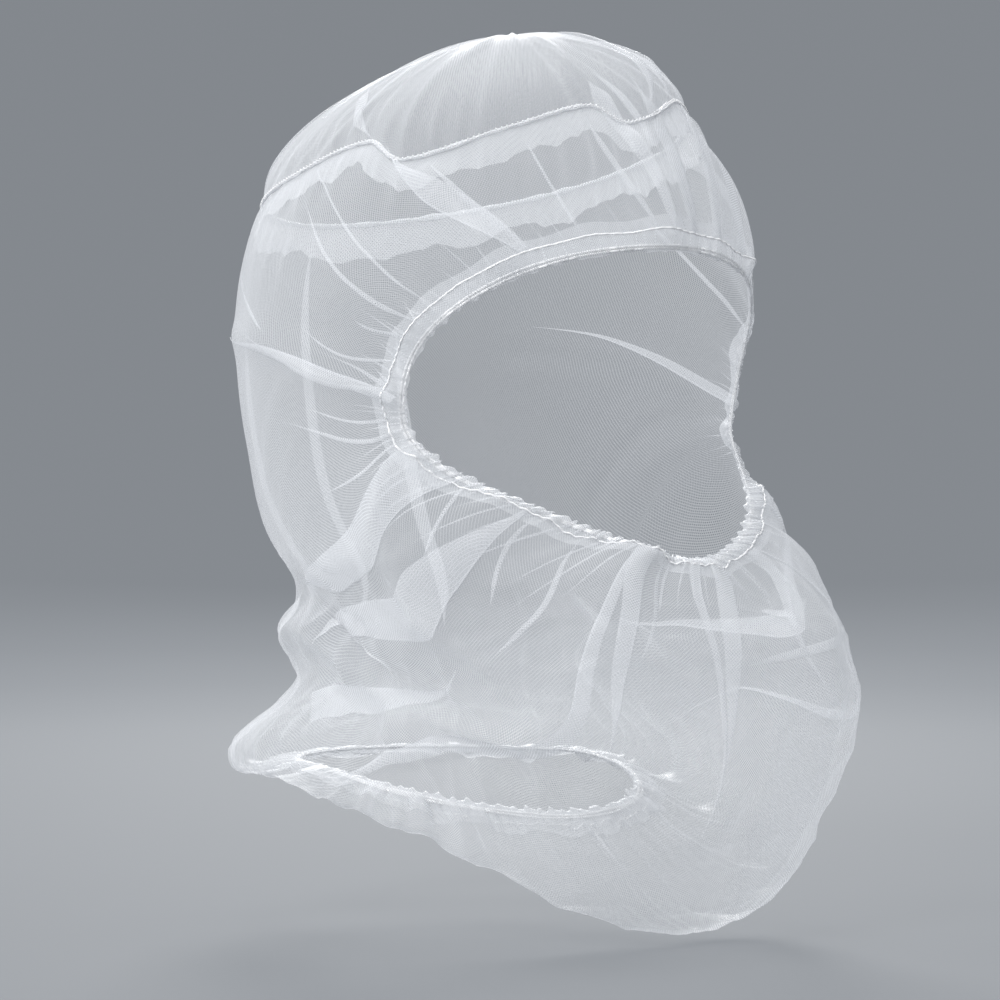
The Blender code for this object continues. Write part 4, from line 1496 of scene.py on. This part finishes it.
@dataclass
class DrawnHem:
    """A gathered casing round an opening, with its stitches and its elastic."""

    surface: BodySurface
    opening: Opening
    cloth: bpy.types.Material
    thread: bpy.types.Material
    elastic: bpy.types.Material
    name: str
    around: int = 760
    depth: float = 0.0072
    turned: float = 0.0112
    room: float = 0.0009
    lead: float = 0.008
    scallop_top: float = 0.0008
    scallop_low: float = 0.0019
    waves: int = 74
    seed: int = 11
    stitches: int = 150

    def ripples(self, around: Array) -> Array:
        """The lift of the body cloth at the stitches, so that the casing meets it."""
        form = self.surface.form
        share = form.share_at_depth(around, self.depth, self.opening)
        points = form.base(around, share)
        _normal, turn_length = form.normal(around, share)
        return self.surface.relief.height(around, share, points, turn_length)

    def low_share(self, around: Array) -> Array:
        """0 over the forehead or the nape, 1 under the face."""
        return smooth_step((0.15 - np.sin(TURN * around)) / 0.6)

    def build(self) -> list[bpy.types.Object]:
        """Makes the casing, the row of stitches and the elastic.

        The profile runs in even steps from the stitches out to the edge, round it, and back inside past the
        stitches to the raw edge. Its lift is the ripples times a share that falls to 0 at the edge, and the
        edge itself is scalloped by the same gathers.

        Returns:
            Four objects, the casing first.
        """
        form = self.surface.form
        turn = np.arange(self.around) / self.around
        edge, inward, outward = form.edge_frames(turn, self.opening, self.lead)
        lift = self.ripples(turn)
        low = self.low_share(turn)
        fine = ripple(turn, self.waves, self.seed)
        broad = ripple(turn, self.waves // 2, self.seed + 1)
        scallop_depth = self.scallop_top + (self.scallop_low - self.scallop_top) * low
        scallop = scallop_depth * (0.65 * fine + 0.5 * broad)
        raw = self.turned + 0.0014 * wander(turn, self.seed + 5, 3, 22) + 0.0005 * low * broad
        rows = 22
        share = np.linspace(0.0, 1.0, rows)
        split = 0.42
        out_part = np.clip(share / split, 0.0, 1.0)
        in_part = np.clip((share - split) / (1.0 - split), 0.0, 1.0)
        depth_out = self.depth * (1.0 - out_part[None, :])
        depth_in = raw[:, None] * in_part[None, :]
        depth = np.where(share[None, :] < split, depth_out, depth_in)
        near_edge = np.exp(-((depth / 0.0035) ** 2))
        depth = depth - scallop[:, None] * near_edge
        bend = np.sqrt(np.clip(depth_out + depth_in, 0.0, 0.0012) / 0.0012)
        over = np.where(share < split, 1.0, -1.0)[None, :] * bend * self.room * 0.5
        inner = np.where(share > split, -0.0004, 0.0)[None, :] * bend
        wave = lift[:, None] * smooth_step(depth / self.depth)
        tight = ripple(turn, self.waves + 44, self.seed + 2)
        buckle = (0.0007 * fine + 0.0006 * tight) * (0.55 + 0.45 * low)
        halfway = np.exp(-(((depth - 0.0036) / 0.0032) ** 2))
        buckle = buckle[:, None] * halfway * np.where(share > split, 0.8, 1.0)
        laid = smooth_step((depth - 0.0045) / 0.0027) * (share < split)[None, :]
        off = wave + over * (1.0 - laid) + inner + buckle
        points = edge[:, None] + inward[:, None] * depth[..., None] + outward[:, None] * off[..., None]
        places = np.stack((turn[:, None] * 0.62 + 0.0 * depth, share[None, :] * 0.019 + 0.0 * depth), axis=-1)
        faces = grid_faces(self.around, rows, closed=True)
        faces = faces if self.opening is Opening.FACE else faces[:, ::-1]
        casing = make_piece(
            f"{self.name}_casing_cloth", points.reshape(-1, 3), faces, places.reshape(-1, 2), self.cloth
        )
        return [casing, self.ruffles(), self.sewing(), self.strand()]

    def ruffles(self) -> bpy.types.Object:
        """Small folds across the casing from its edge to the stitches: flat tubes, narrower at both ends.

        Returns:
            The object.
        """
        count, steps, sides = self.waves * 2, 12, 8
        rng = np.random.default_rng(self.seed + 20)
        turn = (np.arange(count) + rng.uniform(-0.36, 0.36, count)) / count
        low = self.low_share(turn)
        half = rng.uniform(0.00035, 0.00085, count) * (0.25 + 0.75 * low)
        drift = rng.normal(0.0, 0.0016, count)
        share = np.linspace(0.0, 1.0, steps)
        taper = (np.sin(np.pi * (0.06 + 0.88 * share)) ** 0.6)[None, :, None]
        angle = TURN * np.arange(sides) / sides
        across = half[:, None, None] * taper * np.cos(angle)
        grid = np.arange(self.around) / self.around
        edge, inward, outward = self.surface.form.edge_frames(grid, self.opening, self.lead)
        drifted = turn[:, None, None] + drift[:, None, None] * share[None, :, None]
        around = (drifted + across / self.length(edge)) % 1.0
        depth = 0.0003 + (self.depth - 0.0006) * share[None, :, None] + 0.0 * around
        tall = 0.0001 + 0.0004 * low[:, None, None]
        lift = self.room * 0.5 + 0.0002 + tall * taper * np.sin(angle) + 0.0 * around
        rippled = np.interp(around, grid, self.ripples(grid), period=1.0)
        lift = lift + rippled * smooth_step(depth / self.depth)

        def at(rows: Array) -> Array:
            """Reads a round table of points at every place."""
            return np.stack([np.interp(around, grid, rows[:, k], period=1.0) for k in range(3)], axis=-1)

        points = at(edge) + at(inward) * depth[..., None] + at(outward) * lift[..., None]
        one = grid_faces(sides, steps, closed=True)
        points = np.swapaxes(points, 1, 2).reshape(-1, 3)
        faces = (one[None] + (np.arange(count) * sides * steps)[:, None, None]).reshape(-1, 4)
        places = np.stack((np.swapaxes(across, 1, 2), np.swapaxes(depth, 1, 2)), axis=-1).reshape(-1, 2)
        return make_piece(f"{self.name}_casing_ruffles", points, faces, places, self.cloth)

    def length(self, edge: Array) -> float:
        """The way once round the edge, in metres."""
        return float(np.linalg.norm(np.roll(edge, -1, axis=0) - edge, axis=-1).sum())

    def sewing(self) -> bpy.types.Object:
        """The row of stitches: a thread that dips at each stitch hole and wanders a little across.

        Returns:
            The object.
        """
        count = self.stitches * 8
        turn = np.arange(count) / count
        edge, inward, outward = self.surface.form.edge_frames(turn, self.opening, self.lead)
        lift = self.ripples(turn) + 0.00018 + 0.00022 * np.cos(TURN * self.stitches * turn)
        drawn = self.low_share(turn) * ripple(turn, self.waves // 2, self.seed + 1)
        depth = self.depth - 0.0002 + 0.0004 * wander(turn, self.seed + 7, 9, 30) - 0.0007 * drawn
        path = edge + inward * depth[:, None] + outward * lift[:, None]
        tube = carried_tube(path, outward, 0.00034, 0.00026, 6)
        return make_piece(
            f"{self.name}_casing_stitches", tube.reshape(-1, 3), ring_faces(count, 6), None, self.thread
        )

    def strand(self) -> bpy.types.Object:
        """The covered elastic: two round strands side by side inside the casing.

        Returns:
            The object.
        """
        count = 720
        turn = np.arange(count) / count
        edge, inward, outward = self.surface.form.edge_frames(turn, self.opening, self.lead)
        low = self.low_share(turn)
        tubes, faces = [], []
        for number, step in enumerate((0.0, 0.0011)):
            depth = 0.0011 + 0.0012 * low + step + 0.0002 * wander(turn, self.seed + 8 + number, 4, 12)
            path = edge + inward * depth[:, None]
            tubes.append(carried_tube(path, outward, 0.00048, 0.00036, 8).reshape(-1, 3))
            faces.append(ring_faces(count, 8) + number * count * 8)
        return make_piece(
            f"{self.name}_elastic_strands", np.concatenate(tubes), np.concatenate(faces), None, self.elastic
        )


@dataclass
class Studio:
    """Pale floor and backdrop, soft light, and a camera at the photograph's angle."""

    ground: float = -0.3035
    paper: tuple = (0.022, 0.0236, 0.0258)
    wash: float = 9.5
    sweep: float = 3.5
    lights: tuple = (
        ("key", (-1.7, -0.7, 1.1), 0.7, 40.0),
        ("fill", (1.2, -1.6, 0.4), 1.2, 10.0),
        ("top", (0.2, 0.2, 1.6), 0.7, 12.0),
        ("rim", (1.1, 1.3, 0.5), 0.6, 26.0),
        ("rim_left", (-1.1, 1.1, 0.2), 0.5, 9.0),
    )
    sky: float = 0.42
    around: int = 64
    rows: int = 40
    right: tuple = (0.7660, -0.6428, 0.0)
    ahead: tuple = (0.6428, 0.7660, 0.0)
    distance: float = 1.3
    shift: float = 0.0017
    eye_level: float = -0.158
    lens: float = 135.7
    sensor: float = 36.0

    def build(self) -> None:
        """Makes the stage, the lights, the world and the camera."""
        self.stage()
        for name, place, size, power in self.lights:
            lamp = bpy.data.lights.new(name, "AREA")
            lamp.size = size
            lamp.energy = power
            made = bpy.data.objects.new(name, lamp)
            made.location = place
            aim = Vector((0.0, -0.02, -0.15)) - Vector(place)
            made.rotation_euler = aim.to_track_quat("-Z", "Y").to_euler()
            bpy.context.scene.collection.objects.link(made)
        world = bpy.data.worlds.new("studio")
        bpy.context.scene.world = world
        world.use_nodes = True
        world.node_tree.nodes["Background"].inputs["Color"].default_value = (0.96, 0.98, 1.0, 1.0)
        world.node_tree.nodes["Background"].inputs["Strength"].default_value = self.sky
        self.camera()

    def stage(self) -> None:
        """A round floor that bends up into a wall all round: a flat run, a quarter circle and an upright."""
        run = np.linspace(0.0, 1.0, self.rows)
        bend = np.clip((run - 0.15) / 0.70, 0.0, 1.0) * np.pi / 2
        radius = 0.05 + 1.25 * np.minimum(run, 0.15) / 0.15 + self.sweep * np.sin(bend)
        height = self.ground + self.sweep * (1 - np.cos(bend)) + np.clip((run - 0.85) / 0.15, 0.0, 1.0) * 2.0
        turn = np.arange(self.around)[:, None] / self.around
        points = np.stack(
            (radius * np.cos(TURN * turn), radius * np.sin(TURN * turn), height + 0.0 * turn), axis=-1
        )
        faces = grid_faces(self.around, self.rows, closed=True)
        material = bpy.data.materials.new("studio_paper")
        material.use_nodes = True
        shader = material.node_tree.nodes["Principled BSDF"]
        shader.inputs["Base Color"].default_value = (*self.paper, 1.0)
        shader.inputs["Roughness"].default_value = 0.9
        shader.inputs["Emission Color"].default_value = (*self.paper, 1.0)
        shader.inputs["Emission Strength"].default_value = self.wash
        middle = np.array([[0.0, 0.0, self.ground]])
        first = np.arange(self.around) * self.rows
        fan = np.stack([np.full(self.around, self.around * self.rows), first, np.roll(first, -1)], axis=1)
        triangles = np.concatenate([faces[:, (0, 2, 1)], faces[:, (0, 3, 2)], fan])
        points = np.concatenate([points.reshape(-1, 3), middle])
        floor = make_piece("studio_floor", points, triangles, None, material)

    def camera(self) -> None:
        """The camera: 40 degrees round to the wearer's right of the front, level, 1.3 m away."""
        right = Vector(self.right)
        ahead = Vector(self.ahead)
        data = bpy.data.cameras.new("camera")
        data.lens = self.lens
        data.sensor_width = self.sensor
        made = bpy.data.objects.new("camera", data)
        made.location = right * self.shift - ahead * self.distance + Vector((0.0, 0.0, self.eye_level))
        made.rotation_euler = ahead.to_track_quat("-Z", "Y").to_euler()
        bpy.context.scene.collection.objects.link(made)
        bpy.context.scene.camera = made


def finish_hem(pieces: list[bpy.types.Object], casing: str, elastic: str) -> None:
    """Hangs a hem's pieces on the root body and hides the CAD casing and elastic.

    Args:
        pieces: casing, ruffles, stitches and elastic.
        casing: the casing's node.
        elastic: the elastic's node.
    """
    for piece in pieces:
        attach(piece, "root")
    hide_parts(casing)
    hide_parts(elastic)


def main() -> None:
    cycles = bpy.context.scene.cycles
    cycles.transparent_max_bounces = 64
    cycles.max_bounces = 3
    cycles.diffuse_bounces = 1
    cycles.glossy_bounces = 1
    cycles.transmission_bounces = 2
    cycles.use_light_tree = False
    bpy.context.scene.view_settings.view_transform = "Standard"
    form = HoodForm()
    seam = SeamLine(form)
    relief = Relief(form, seam)
    body = BodySurface(form, relief)
    crown_form = CrownSurface(form, seam)
    cloth = SheerCloth("sheer_mesh").build()
    seam_cloth = SheerCloth("doubled_mesh", thread=0.50, between=0.16, pitch=0.00060).build()
    hem_cloth = SheerCloth("hem_mesh", thread=0.46, between=0.12, pitch=0.00060).build()
    ridge_cloth = SheerCloth("rolled_mesh", thread=0.86, between=0.55, pitch=0.00060).build()
    thread = SpunThread("white_thread", ridge=0.0004).build()
    rubber = SpunThread("covered_elastic", ridge=0.0007, roughness=0.42).build()

    panel, pleats = BodyPanel(body, cloth).build()
    crown, crown_pleats, band, ridge, sewn = Crown(
        crown_form, cloth, seam_cloth, ridge_cloth, thread
    ).build()
    face = DrawnHem(body, Opening.FACE, hem_cloth, thread, rubber, "face").build()
    finish_hem(face, "face_casing", "face_elastic")
    neck = DrawnHem(
        body, Opening.NECK, hem_cloth, thread, rubber, "neck",
        waves=78, seed=21, scallop_top=0.0016, stitches=140,
    ).build()
    finish_hem(neck, "neck_casing", "neck_elastic")
    Studio().build()


if __name__ == "__main__":
    main()
